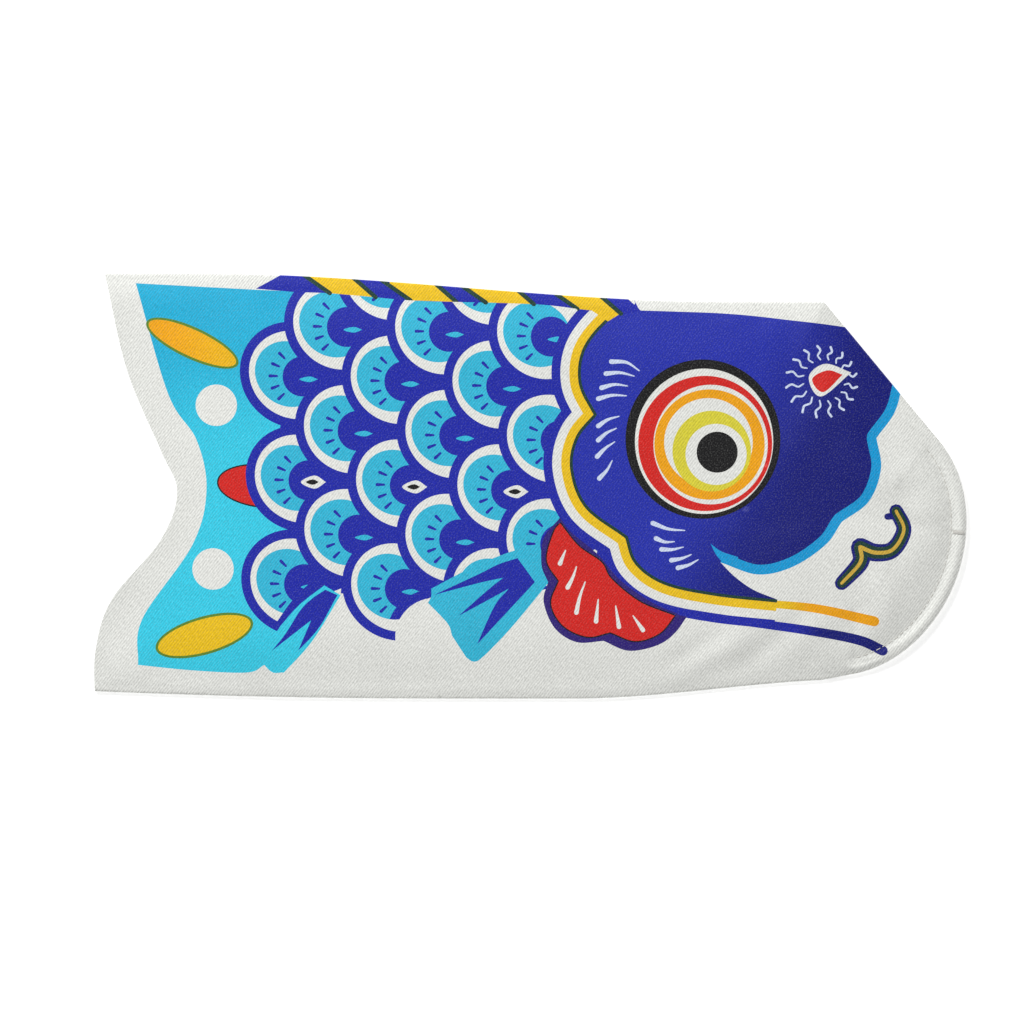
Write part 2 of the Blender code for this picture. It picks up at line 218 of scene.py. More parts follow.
def band(points: Sequence[Point], width: float) -> list[Point]:
    """Outline of a band that lies beside a smooth run, on its left for a positive width."""
    line = smooth_run(points)
    return line + shifted(line, width)[::-1]


def stroke(points: Sequence[Point], start: float, end: float) -> list[Point]:
    """Outline of a brush stroke.

    Args:
        points: The stroke's middle line.
        start: Half its width where it starts.
        end: Half its width where it ends.

    Returns:
        The closed outline, with round ends.
    """
    line = smooth_run(points, 0.8)
    if len(line) == 2:
        line = [line[0], ((line[0][0] + line[1][0]) / 2, (line[0][1] + line[1][1]) / 2), line[1]]
    run = np.array(line, float)
    way = np.gradient(run, axis=0)
    way /= np.linalg.norm(way, axis=1)[:, None]
    side = np.column_stack((-way[:, 1], way[:, 0]))
    half = np.linspace(start, end, len(run))[:, None]
    left, right = run + side * half, run - side * half
    turns = np.linspace(0, math.pi, 6)[1:-1, None]
    tip = run[-1] + (np.cos(turns) * side[-1] + np.sin(turns) * way[-1]) * end
    tail = run[0] - (np.cos(turns) * side[0] + np.sin(turns) * way[0]) * start
    loop = np.vstack((left, tip, right[::-1], tail))
    return [(float(x), float(y)) for x, y in loop]


@dataclass(frozen=True)
class Shape:
    """One printed shape.

    Args:
        loop: Its closed outline, in millimetres.
        ink: Its ink.
        fade: A second ink that it turns into, if any.
        fade_from: Where the turn starts.
        fade_to: Where the second ink is full.
        over: The inks that it prints on; empty means all.
        off: The inks that it doesn't print on.
    """

    loop: list[Point]
    ink: Ink
    fade: Ink | None = None
    fade_from: Point = (0.0, 0.0)
    fade_to: Point = (1.0, 0.0)
    over: tuple[Ink, ...] = ()
    off: tuple[Ink, ...] = ()

    def covers(self, points: np.ndarray) -> np.ndarray:
        """Tell which points lie inside the outline.

        Args:
            points: An array of (x, y) rows.

        Returns:
            One truth value for each row.
        """
        loop = np.array(self.loop)
        low, high = loop.min(0), loop.max(0)
        near = np.flatnonzero(((points >= low) & (points <= high)).all(1))
        inside = np.zeros(len(points), bool)
        if not len(near):
            return inside
        x, y = points[near, 0], points[near, 1]
        odd = np.zeros(len(near), int)
        for (ax, ay), (bx, by) in zip(loop, np.roll(loop, -1, axis=0)):
            crosses = (ay > y) != (by > y)
            if crosses.any():
                at = ax + (y - ay) * (bx - ax) / ((by - ay) or 1e-12)
                step = 1 if by > ay else -1
                odd += np.where(crosses & (x < at), step, 0)
        inside[near] = odd != 0
        return inside

    def colours(self, points: np.ndarray) -> np.ndarray:
        """Colour of the ink at each point, as linear values.

        Args:
            points: Points of the plan, in millimetres.

        Returns:
            One colour for each point.
        """
        first = linear_colour(self.ink.value)
        if self.fade is None:
            return np.tile(first, (len(points), 1))
        start, end = np.array(self.fade_from), np.array(self.fade_to)
        way = end - start
        share = np.clip((points - start) @ way / (way @ way), 0, 1)
        share = (share * share * (3 - 2 * share))[:, None]
        return first * (1 - share) + linear_colour(self.fade.value) * share


def linear_colour(screen: tuple[int, int, int]) -> np.ndarray:
    """Turn a screen colour of 0 to 255 into linear values."""
    value = np.array(screen, float) / 255
    return np.where(value <= 0.04045, value / 12.92, ((value + 0.055) / 1.055) ** 2.4)


@dataclass
class ScalePattern:
    """The scales: dark rings with a white edge and a light-blue fan, on a staggered lattice.

    Args:
        long: Half the length of a scale's white edge.
        short: Half its width.
        tilt: Its slant, in degrees.
        ring: Width of the dark ring round it.
        fan_long: Half the length of the light-blue fan.
        fan_short: Half its width.
        lobe: Radius of the dark root.
        first: X of the column nearest the tail, at mid-height.
        top: Height of the lattice's top row.
        pitch: Spacing of the columns, and of the scales in a column.
        drop: How much lower each column sits than the one before.
        bow: How far a column bends back at a height of 50; it bends no further above 75.
        rows: The first and last row that each column holds.
        bites: Column and row of the places where the belly's white bites into the pattern.
        eyed: Columns whose middle scale has a white drop with a black core.
    """

    long: float = 21.5
    short: float = 19.5
    tilt: float = -36.5
    ring: float = 4.2
    fan_long: float = 16.2
    fan_short: float = 14.5
    lobe: float = 9.2
    first: float = -105.5
    top: float = 98.5
    pitch: tuple[float, float] = (23.2, 47.6)
    drop: float = 1.1
    bow: float = 2.6
    rows: tuple[tuple[int, int], ...] = ((1, 3), (0, 2), (0, 3), (0, 2), (0, 3), (0, 2))
    bites: tuple[tuple[int, int], ...] = ((1, 3), (3, 3))
    eyed: tuple[int, ...] = (0, 2, 4)

    def middle(self, column: int, row: int) -> Point:
        """Middle of the scale in a column and row; odd columns sit half a scale lower."""
        y = self.top - self.drop * column - self.pitch[1] * (row + 0.5 * (column % 2))
        back = self.bow * min(abs(y) / 50, 1.5) ** 2
        return self.first + self.pitch[0] * column - back, y

    def shapes(self) -> list[Shape]:
        """Return every scale's shapes, from the tail towards the head."""
        drawn = []
        for column, (first, last) in enumerate(self.rows):
            for row in range(first, last + 1):
                drawn.extend(self.scale(self.middle(column, row), column in self.eyed and row == 2))
            for bite in self.bites:
                if bite[0] == column:
                    place = self.middle(*bite)
                    drawn.append(Shape(self.oval(place, self.ring), Ink.BODY_BLUE, off=(Ink.CLOTH,)))
                    drawn.append(Shape(self.oval(place, 0.0), Ink.CLOTH))
        return drawn

    def oval(self, middle: Point, grow: float) -> list[Point]:
        """Outline of a scale's white edge, grown outwards."""
        return ellipse(middle, self.long + grow, self.short + grow, self.tilt)

    def scale(self, middle: Point, eyed: bool) -> list[Shape]:
        """Draw one scale.

        Args:
            middle: The middle of its white edge.
            eyed: Whether its root holds a white drop with a black core.

        Returns:
            Its shapes, from the bottom up.
        """
        x, y = middle
        root = (x + 3.8, y - 0.7)
        fan = ellipse((x - 2.5, y + 0.4), self.fan_long, self.fan_short, self.tilt)
        drawn = [
            Shape(self.oval(middle, self.ring), Ink.BODY_BLUE),
            Shape(self.oval(middle, 0.0), Ink.CLOTH),
            Shape(fan, Ink.FAN_BLUE),
        ]
        for turn in range(135, 226, 22):
            way = (math.cos(math.radians(turn)), math.sin(math.radians(turn)))
            near = (root[0] + 11.8 * way[0], root[1] + 11.8 * way[1])
            far = (root[0] + 15.0 * way[0], root[1] + 15.0 * way[1])
            drawn.append(Shape(stroke([near, far], 0.5, 0.75), Ink.BODY_BLUE))
        tongue = [(x + 4.6, y + 7.4), (x + 24.0, y - 1.4), (x + 4.6, y - 8.8)]
        drawn.append(Shape(ellipse(root, self.lobe, self.lobe), Ink.BODY_BLUE))
        drawn.append(Shape(tongue, Ink.BODY_BLUE))
        if eyed:
            drawn.append(Shape(self.drop_shape((x + 6, y - 1.5), 11.5, 6.0), Ink.CLOTH))
            drawn.append(Shape(self.drop_shape((x + 5.5, y - 1.5), 6.0, 2.5), Ink.BLACK))
        else:
            drawn.append(Shape(self.drop_shape((x + 6.5, y - 2), 8.5, 2.6), Ink.FAN_BLUE))
        return drawn

    @staticmethod
    def drop_shape(middle: Point, length: float, width: float) -> list[Point]:
        """A drop that is round towards the tail and pointed towards the head.

        Args:
            middle: Its middle.
            length: Its length.
            width: Its width.

        Returns:
            The closed outline's points.
        """
        x, y = middle
        half, side = length / 2, width / 2
        return outline(
            [(x + half, y), (x + 0.1 * half, y + side), (x - half, y), (x + 0.1 * half, y - side)],
        )


@dataclass
class FishPrint:
    """The carp as it is printed on the cloth, listed from the bottom ink up.

    Args:
        scales: The scale pattern.
        green: Width of the dark green line along the gill.
        yellow: Distance from the gill's line to the yellow's outer edge.
        white: Distance from the gill's line to the white's outer edge.
        outer: Distance from the gill's line to the outer blue's edge.
        border: Width of the light-blue border of the snout.
        gill: The gill's line, one run for each of its three lobes.
        snout: The snout's edge, from the mouth back under the eye.
        stripes: Where each yellow stripe of the back fin starts, and its length.
    """

    scales: ScalePattern = field(default_factory=ScalePattern)
    green: float = 1.4
    yellow: float = 5.3
    white: float = 9.4
    outer: float = 13.5
    border: float = 4.5
    gill: tuple[tuple[Point, ...], ...] = (
        ((47, 82.5), (35, 75), (25, 62), (23.5, 47), (30.5, 32.5)),
        ((30.5, 32.5), (22, 22), (19.5, 8), (26, -9), (44.5, -23)),
        ((44.5, -23), (49, -35), (62, -44), (85, -49), (113, -52)),
    )
    snout: tuple[tuple[Point, ...], ...] = (
        ((175, 61.5), (171, 48), (167, 34), (158.5, 22)),
        ((158.5, 22), (160.5, 8), (155, -7), (142.5, -16.5)),
        ((142.5, -16.5), (135, -27), (120, -37), (104, -40.5), (87, -35)),
    )
    stripes: tuple[Point, ...] = ((-102, 22), (-65, 22), (-30.5, 23), (11.5, 21))

    def shapes(self) -> list[Shape]:
        """Return every shape of the print, from the bottom ink up."""
        return [
            *self.tail(),
            *self.body(),
            *self.scales.shapes(),
            *self.anal_fin(),
            *self.pelvic_fin(),
            *self.gill_cover(),
            *self.dorsal_fin(),
            *self.pectoral_fin(),
            *self.mouth_lines(),
            *self.eye(),
            *self.nostril(),
            *self.whiskers(),
            *self.barbel(),
        ]

    def tail(self) -> list[Shape]:
        """The light-blue tail with its leaf spots, dots and red spot."""
        blue = outline(
            [(-181, 93), (-126, 90)],
            [(-104, 89)],
            [(-85, -34)],
            [(-88, -50)],
            [(-95, -62), (-113, -85)],
            [(-119, -85)],
            [(-122, -82)],
            [(-130, -85.5), (-155, -84.5), (-180, -82)],
            [(-178, -61), (-155, -27), (-148.5, -2), (-153, 21), (-166, 42)],
        )
        drawn = [Shape(blue, Ink.TAIL_AZURE, Ink.TAIL_CYAN, (-156, 76), (-136, 7))]
        for middle, long, short, tilt, ink in (
            ((-155, 65.5), 22, 6, -25, Ink.ORANGE),
            ((-149.5, -68.5), 22, 7.5, 16, Ink.YELLOW),
        ):
            ends = (middle[0] - long, middle[1]), (middle[0] + 2 * long, middle[1])
            drawn.append(Shape(ellipse(middle, long + 1.2, short + 1.2, tilt), Ink.RIM_GREEN))
            drawn.append(Shape(ellipse(middle, long, short, tilt), ink, Ink.YELLOW, *ends))
        drawn.append(Shape(ellipse((-144, 37), 9.5, 9.5), Ink.CLOTH))
        drawn.append(Shape(ellipse((-145.5, -38), 9.5, 9.5), Ink.CLOTH))
        drawn.append(Shape(ellipse((-123, 0), 20.8, 10, -6), Ink.BLACK))
        drawn.append(Shape(ellipse((-123, 0), 20.1, 9.3, -6), Ink.RED))
        return drawn

    def body(self) -> list[Shape]:
        """The dark blue that shows between the scales."""
        dark = [
            (-109, 88.5), (42, 79), (32, 30), (37, -21), (27, -34), (10, -43), (-60, -34), (-85, -34),
            (-106, -25), (-119, 7), (-110, 49),
        ]
        return [Shape(dark, Ink.BODY_BLUE)]

    def anal_fin(self) -> list[Shape]:
        """The small fin under the tail: a dark edge, a light strip and two dark rays."""
        edge = outline(
            [(-117.5, -64), (-108, -51), (-98.5, -43), (-94.5, -45.5)],
            [(-106, -54.5), (-114.5, -64)],
        )
        strip = outline(
            [(-114.5, -64), (-106, -54.5), (-94.5, -45.5)],
            [(-87, -50)],
            [(-100, -71), (-113, -85.5)],
            [(-119, -85), (-123, -77.5)],
        )
        rays = outline(
            [(-94, -47.5), (-88.5, -50)],
            [(-97, -65), (-106.5, -75.5)],
            [(-100.5, -61.5)],
            [(-107, -66.5), (-118.5, -75.5)],
            [(-112.5, -68), (-105.5, -57), (-100, -51.5)],
        )
        return [Shape(edge, Ink.BODY_BLUE), Shape(strip, Ink.TAIL_CYAN), Shape(rays, Ink.BODY_BLUE)]

    def pelvic_fin(self) -> list[Shape]:
        """The light-blue fin under the belly, with three dark rays."""
        clear = [(-28, -53), (-14, -52), (8, -47), (32, -71), (32, -98), (-41.5, -98), (-41.5, -71)]
        fin = outline(
            [(-45.5, -47), (-24, -36), (-2, -28.5), (8, -34)],
            [(8, -44.5)],
            [(-8.5, -64.5), (-21.5, -78), (-26, -80.5), (-29.5, -78.5)],
            [(-36, -68.5)],
            [(-38, -63), (-47, -53.5)],
            [(-45.5, -50.5)],
        )
        rays = outline(
            [(-6, -33), (2, -44)],
            [(-11, -58), (-24.5, -72.5)],
            [(-16.5, -55), (-10, -47)],
            [(-20, -52.5), (-33, -59.5)],
            [(-20, -48), (-12.5, -42)],
            [(-24, -44.5), (-44.5, -50)],
            [(-24, -40.5), (-15, -36)],
        )
        return [Shape(clear, Ink.CLOTH), Shape(fin, Ink.FAN_BLUE), Shape(rays, Ink.BODY_BLUE)]

    def gill_cover(self) -> list[Shape]:
        """The head, its striped gill line and the snout's light-blue border."""
        drawn = []
        for width, ink in (
            (self.outer, Ink.BODY_BLUE),
            (self.white, Ink.CLOTH),
            (self.yellow, Ink.YELLOW),
            (self.green, Ink.GREEN),
        ):
            drawn.extend(Shape(band(lobe, -width), ink) for lobe in self.gill)
        head = outline(
            [(47.5, 85.5), (50, 80.5)],
            [(66, 80), (90, 79), (115, 76.5), (154, 71), (175, 61.5)],
            *(lobe[1:] for lobe in self.snout),
            [(93.5, -41.5), (102, -47.5), (113, -52)],
            *(lobe[-2::-1] for lobe in self.gill[::-1]),
        )
        drawn.append(Shape(head, Ink.HEAD_BLUE, Ink.SNOUT_NAVY, (85, 30), (131, 7)))
        for lobe in self.snout:
            drawn.append(Shape(band(lobe, -self.border), Ink.SNOUT_EDGE, over=(Ink.HEAD_BLUE,)))
        for cusp in (self.snout[0][-1], self.snout[1][-1]):
            tip = ellipse(cusp, self.border, self.border)
            drawn.append(Shape(tip, Ink.SNOUT_EDGE, over=(Ink.HEAD_BLUE,)))
        start = outline([(82.5, -26.5), (87.5, -30), (95, -32.5)], [(95, -37), (88.5, -35.5)], [(85, -31.5)])
        drawn.append(Shape(start, Ink.SNOUT_EDGE, over=(Ink.HEAD_BLUE,)))
        return drawn

    def dorsal_fin(self) -> list[Shape]:
        """The band along the back, striped in blue and yellow with dark green lines."""
        foot = smooth_run([(50.5, 80.5), (42, 79), (27, 80.5), (0, 83.5), (-53, 85), (-85, 88), (-109, 89)])
        rise = smooth_run([(-126, 90.5), (-116, 96), (-110, 100)])
        last = [(28, 80.5), (35.5, 75.5), (42, 79.5), (35, 83)]
        drawn = [Shape([*rise, (44.5, 95), (44.5, 86), *foot], Ink.BODY_BLUE), Shape(last, Ink.YELLOW)]
        foot_x, foot_y = np.array(foot)[::-1].T

        def on_foot(x: float) -> Point:
            """Point on the fin's foot at x."""
            return x, float(np.interp(x, foot_x, foot_y))

        for x, length in self.stripes:
            back, front = on_foot(x + 10), on_foot(x + length + 9)
            knee, heel = (x + length + 1, front[1] + 7), (x, back[1] + 7)
            top = (x + length, 99.0), (x + 2, 99.0)
            drawn.append(Shape([heel, top[1], top[0], knee, front, back], Ink.YELLOW))
            for high, low in ((heel, back), (knee, front)):
                longer = [(1.35 * high[0] - 0.35 * low[0], 1.35 * high[1] - 0.35 * low[1]), low]
                drawn.append(Shape(stroke(longer, 1.0, 1.0), Ink.GREEN, off=(Ink.CLOTH,)))
        drawn.append(Shape([(13, 81.5), (20, 81), (18.5, 78)], Ink.CLOTH))
        return drawn

    def pectoral_fin(self) -> list[Shape]:
        """The red fin behind the gill, with its navy edge and pale rays."""
        navy = outline(
            [(13.5, -14.5), (6, -24), (5, -36), (8, -44)],
            [(6, -53), (11, -65), (21, -71.5), (33.5, -71)],
            [(45, -75.5), (58, -73), (66, -67.5), (71.5, -60)],
            [(56, -53.5), (41, -43), (31, -31.5), (18.5, -21)],
        )
        red = outline(
            [(13.5, -17), (22, -27.5), (32.5, -35), (37, -42.5), (50, -53), (66, -59.5)],
            [(59, -67.5), (48, -71), (36.5, -67)],
            [(26, -69), (15, -64), (9.5, -54), (13, -43.5)],
            [(7.5, -34), (10.5, -21.5)],
        )
        drawn = [
            Shape(navy, Ink.FIN_NAVY, off=(Ink.GREEN, Ink.YELLOW)),
            Shape(shifted(red, 0.6), Ink.BLACK),
            Shape(red, Ink.RED),
        ]
        for ray in (
            [(16, -29.5), (13.5, -35.5)],
            [(21, -37), (19.5, -41.5), (17, -46.5)],
            [(25, -44), (22.5, -51), (21, -58)],
            [(31, -52), (30, -62)],
            [(39, -55), (40.5, -64.5)],
            [(47, -59.5), (51.5, -66)],
        ):
            drawn.append(Shape(stroke(ray, 0.3, 1.05), Ink.CLOTH))
        return drawn

    def mouth_lines(self) -> list[Shape]:
        """The two lines that run on from the gill to the mouth."""
        yellow = stroke([(78, -52), (102, -53.5), (130, -56), (157.5, -62)], 1.3, 2.3)
        navy = stroke([(68.5, -57.5), (90, -61), (126, -66), (150, -70.5), (161.5, -75.5)], 1.7, 2.3)
        start = (114.5, -54)
        return [
            Shape(yellow, Ink.YELLOW, Ink.ORANGE, start, (130.5, -54), off=(Ink.GREEN,)),
            Shape(navy, Ink.BODY_BLUE, Ink.SNOUT_NAVY, start, (137.5, -54), off=(Ink.RED, Ink.BLACK)),
        ]

    def eye(self) -> list[Shape]:
        """The round eye: rings that drift forwards and down to the pupil."""
        rings = (
            ((79, 21.5), 35.5, 36.5, Ink.BLACK),
            ((79.5, 20.5), 31.7, 33.3, Ink.CLOTH),
            ((80, 19.5), 30.7, 31.0, Ink.RED),
            ((82.5, 19), 26.2, 27.4, Ink.CLOTH),
            ((82, 19), 25.3, 25.3, Ink.ORANGE),
            ((81.5, 20), 20.3, 20.3, Ink.CLOTH),
            ((83, 16), 18.0, 18.5, Ink.LEMON),
            ((85, 14.5), 14.0, 14.0, Ink.CLOTH),
            ((85.5, 15.5), 9.4, 9.4, Ink.BLACK),
        )
        return [Shape(ellipse(middle, wide, high), ink) for middle, wide, high, ink in rings]

    def nostril(self) -> list[Shape]:
        """The red nostril drop in its ring of wavy rays."""
        edge = outline([(147, 52), (133, 41), (127.5, 50), (135, 56)])
        drop = outline([(143, 51), (134, 43), (129, 49), (136, 53)])
        middle = (134.5, 48.5)
        drawn = []
        for index in range(16):
            turn = math.radians(10 + 22.5 * index)
            reach = 16.4 + 1.4 * math.cos(turn + 2.6)
            ray = []
            for share, sway in ((0.0, 0.0), (0.33, 0.9), (0.66, -0.7), (1.0, 0.3)):
                distance = 9.6 + (reach - 9.6) * share
                angle = turn + sway / distance
                ray.append((middle[0] + distance * math.cos(angle), middle[1] + distance * math.sin(angle)))
            drawn.append(Shape(stroke(ray, 0.35, 0.55), Ink.RAY))
        return [*drawn, Shape(edge, Ink.CLOTH), Shape(drop, Ink.RED)]

    def whiskers(self) -> list[Shape]:
        """The short pale strokes behind and below the eye: place, length, slope and bend."""
        drawn = []
        for (x, y), length, slope, bend in (
            ((37, 57), 13.5, -18, 1.8),
            ((34.5, 51.5), 13, -5, 1.0),
            ((32.5, 45), 12, 4, 1.1),
            ((31, 40), 13, 6, 0.9),
            ((31, 27.5), 10.5, 25, 0.8),
            ((31, 21), 10, 33, 0.7),
            ((30.5, 13.5), 10.5, 40, 0.5),
            ((31.5, 3.5), 10, 54, -0.6),
            ((56, -17), 15, -13, -1.0),
            ((57.5, -24), 8.5, -10, -0.9),
            ((60, -29), 10, 6, -0.6),
            ((64.5, -34), 9.5, 16, -0.5),
            ((67.5, -37.5), 10, 22, -0.6),
        ):
            way = (math.cos(math.radians(slope)), math.sin(math.radians(slope)))
            middle = (x + way[0] * length / 2 - way[1] * bend, y + way[1] * length / 2 + way[0] * bend)
            line = [(x, y), middle, (x + way[0] * length, y + way[1] * length)]
            drawn.append(Shape(stroke(line, 1.1, 0.25), Ink.RAY))
        return drawn

    def barbel(self) -> list[Shape]:
        """The curled feeler by the mouth: navy, then dark green, then gold."""
        upper = [(167.5, -11.5), (171, -20), (166, -29), (158, -30.5), (151, -28)]
        lower = [(151, -28), (151, -35), (142.5, -44.5)]
        drawn = [Shape(stroke([(163.5, -14), (167, -14), (169, -17)], 1.5, 1.6), Ink.SNOUT_NAVY)]
        for half, ink in ((4.3, Ink.SNOUT_NAVY), (2.9, Ink.GREEN), (0.95, Ink.GOLD)):
            drawn.append(Shape(stroke(upper, half * 0.75, half), ink))
            drawn.append(Shape(stroke(lower, half, half * 0.75), ink))
        return drawn


def ease(value: np.ndarray | float) -> np.ndarray:
    """Turn 0..1 into a smooth step, held at its ends."""
    value = np.clip(value, 0.0, 1.0)
    return value * value * (3 - 2 * value)


@dataclass
class SleevePlan:
    """The sleeve's flat outline, with its places read from the frame.

    Args:
        back_drop: How much lower the back is at the head than at the tail.
        back_taper: Where the back's drop starts, from the front, and its length.
        belly_rise_head: How much the belly rises at the head.
        belly_rise_tail: How much it rises at the tail.
        belly_low: Its lowest place, from the tail.
        belly_turn: Where the rise at the head ends, from the front, and its length.
        corner_back: Distance of the back's corner from the front.
        corner_belly: Distance of the belly's corner from the front.
        hoop_long: Half the hoop's length, on its bar's middle line.
        hoop_short: Half the hoop's width.
        hoop_tilt: The hoop's slant, in degrees.
        hem_radius: Radius of the hem round the hoop.
        tail_cut: The cut tail edge: height, and how far in from the tail's end.
    """

    back_drop: float = 13.0
    back_taper: tuple[float, float] = (350.0, 240.0)
    belly_rise_head: float = 8.9
    belly_rise_tail: float = 3.4
    belly_low: float = 160.0
    belly_turn: tuple[float, float] = (50.0, 130.0)
    corner_back: float = 65.3
    corner_belly: float = 66.0
    hoop_long: float = 60.2
    hoop_short: float = 48.2
    hoop_tilt: float = 21.0
    hem_radius: float = 2.8
    tail_cut: tuple[Point, ...] = (
        (97.5, 4.7), (53.0, 15.0), (16.5, 30.4), (-2.5, 38.0),
        (-24.8, 30.4), (-52.0, 8.0), (-75.0, 0.6), (-97.5, 0.0),
    )

    def __post_init__(self) -> None:
        """Read the outline's places from the frame."""
        low, high = (np.array(corner) / MM for corner in CAD_BOX)
        self.tail = float(low[0])
        self.front = -self.tail
        self.back, self.belly = float(high[1]), float(low[1])
        hems = [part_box(name) for name in ("mouth_hem_right", "mouth_hem_left")]
        self.hoop_x = (min(box[0].x for box in hems) + max(box[1].x for box in hems)) / 2 / MM
        self.hoop_y = (min(box[0].y for box in hems) + max(box[1].y for box in hems)) / 2 / MM
        self.folds = [joint["pos_m"][0] / MM for joint in frame["joints"]]
        self.fold_z = frame["joints"][0]["pos_m"][2] / MM
        self.corner = (self.front - self.corner_back, self.back - self.back_drop)
        belly_end = self.front - self.corner_belly
        self.belly_corner = (belly_end, float(self.belly_edge(belly_end)))
        self.fold_angle = self.tangent_angle()
        self.belly_angle = math.radians(152)

    def back_edge(self, x: np.ndarray | float) -> np.ndarray:
        """Height of the back edge at x."""
        start = self.front - self.back_taper[0]
        return self.back - self.back_drop * ease((x - start) / self.back_taper[1])

    def belly_edge(self, x: np.ndarray | float) -> np.ndarray:
        """Height of the belly edge at x.

        Args:
            x: Places along the body.

        Returns:
            The edge's places across the body.
        """
        low = self.tail + self.belly_low
        turn = self.front - self.belly_turn[0] - self.belly_turn[1]
        to_tail = np.maximum(0.0, (low - x) / self.belly_low)
        rise = self.belly_rise_head * ease((x - turn) / self.belly_turn[1])
        return self.belly + self.belly_rise_tail * to_tail**2 + rise

    def hoop_point(self, angle: float, offset: float = 0.0) -> Point:
        """Point on the hoop's oval, moved outwards; angle 0 is its upper end, in radians.

        Args:
            angle: Place on the oval, in radians.
            offset: Distance outwards.

        Returns:
            The point in the plan.
        """
        normal = np.array((math.cos(angle) / self.hoop_long, math.sin(angle) / self.hoop_short))
        normal /= np.linalg.norm(normal)
        along = self.hoop_long * math.cos(angle) + offset * normal[0]
        across = self.hoop_short * math.sin(angle) + offset * normal[1]
        turn = math.radians(self.hoop_tilt)
        x = self.hoop_x + along * math.sin(turn) + across * math.cos(turn)
        y = self.hoop_y + along * math.cos(turn) - across * math.sin(turn)
        return float(x), float(y)

    def hoop_offset(self, x: np.ndarray, y: np.ndarray) -> tuple[np.ndarray, np.ndarray]:
        """Distance outwards from the hoop's oval, and the angle on it, for points in the plan.

        Args:
            x: Places along the body.
            y: Places across the body.

        Returns:
            The distances and the angles in radians.
        """
        turn = math.radians(self.hoop_tilt)
        dx, dy = x - self.hoop_x, y - self.hoop_y
        along = dx * math.sin(turn) + dy * math.cos(turn)
        across = dx * math.cos(turn) - dy * math.sin(turn)
        size = np.hypot(along / self.hoop_long, across / self.hoop_short)
        slope = np.hypot(along / self.hoop_long**2, across / self.hoop_short**2)
        offset = (size - 1) * size / np.maximum(slope, 1e-6)
        return offset, np.arctan2(across / self.hoop_short, along / self.hoop_long)

    def tangent_angle(self) -> float:
        """Angle on the hem where a line from the back's corner just touches its front."""
        def slope(angle: float) -> float:
            """Direction of the point at this angle, seen from the corner."""
            x, y = self.hoop_point(angle, self.hem_radius)
            return math.atan2(y - self.corner[1], x - self.corner[0])

        return max((math.pi * step / 720 for step in range(721)), key=slope)

    def line_distance(self, start: Point, end: Point, x: np.ndarray, y: np.ndarray) -> np.ndarray:
        """Distance of points to the right of a line from start to end."""
        way = np.array(end) - np.array(start)
        way /= np.linalg.norm(way)
        return (x - start[0]) * way[1] - (y - start[1]) * way[0]

    def edge_distance(self, x: np.ndarray, y: np.ndarray) -> np.ndarray:
        """Distance inwards from the back, the belly and the slanting fold.

        Args:
            x: Places along the body.
            y: Places across the body.

        Returns:
            The least of the distances, for each point.
        """
        side = np.minimum(self.back_edge(x) - y, y - self.belly_edge(x))
        mouth_top = self.hoop_point(self.fold_angle, self.hem_radius)
        mouth_low = self.hoop_point(self.belly_angle, self.hem_radius)
        slants = (self.line_distance(self.corner, mouth_top, x, y),
                  self.line_distance(mouth_low, self.belly_corner, x, y))
        return np.minimum(side, np.minimum(*slants))

    def mouth_angles(self, step: float) -> list[float]:
        """Angles along the mouth's front, from the belly up to the fold, step apart."""
        count = round(170 / step)
        span = self.fold_angle - self.belly_angle
        return [self.belly_angle + span * index / count for index in range(count + 1)]

    def outline(self) -> list[Point]:
        """The sleeve's closed outline, from the tail's belly corner round the mouth."""
        belly_end = self.belly_corner[0]
        belly = [(float(x), float(self.belly_edge(x))) for x in np.linspace(self.tail, belly_end, 170)]
        mouth = [self.hoop_point(angle, self.hem_radius) for angle in self.mouth_angles(1.5)]
        fold = [tuple(np.array(mouth[-1]) + (np.array(self.corner) - mouth[-1]) * t)
                for t in np.linspace(0, 1, 40)[1:]]
        tail = smooth_run([(self.tail + inset, y) for y, inset in self.tail_cut], 1.5)
        back = [(x, float(self.back_edge(x))) for x in np.linspace(self.corner[0], tail[0][0], 170)[1:]]
        return belly + mouth + fold + back + tail[1:-1]


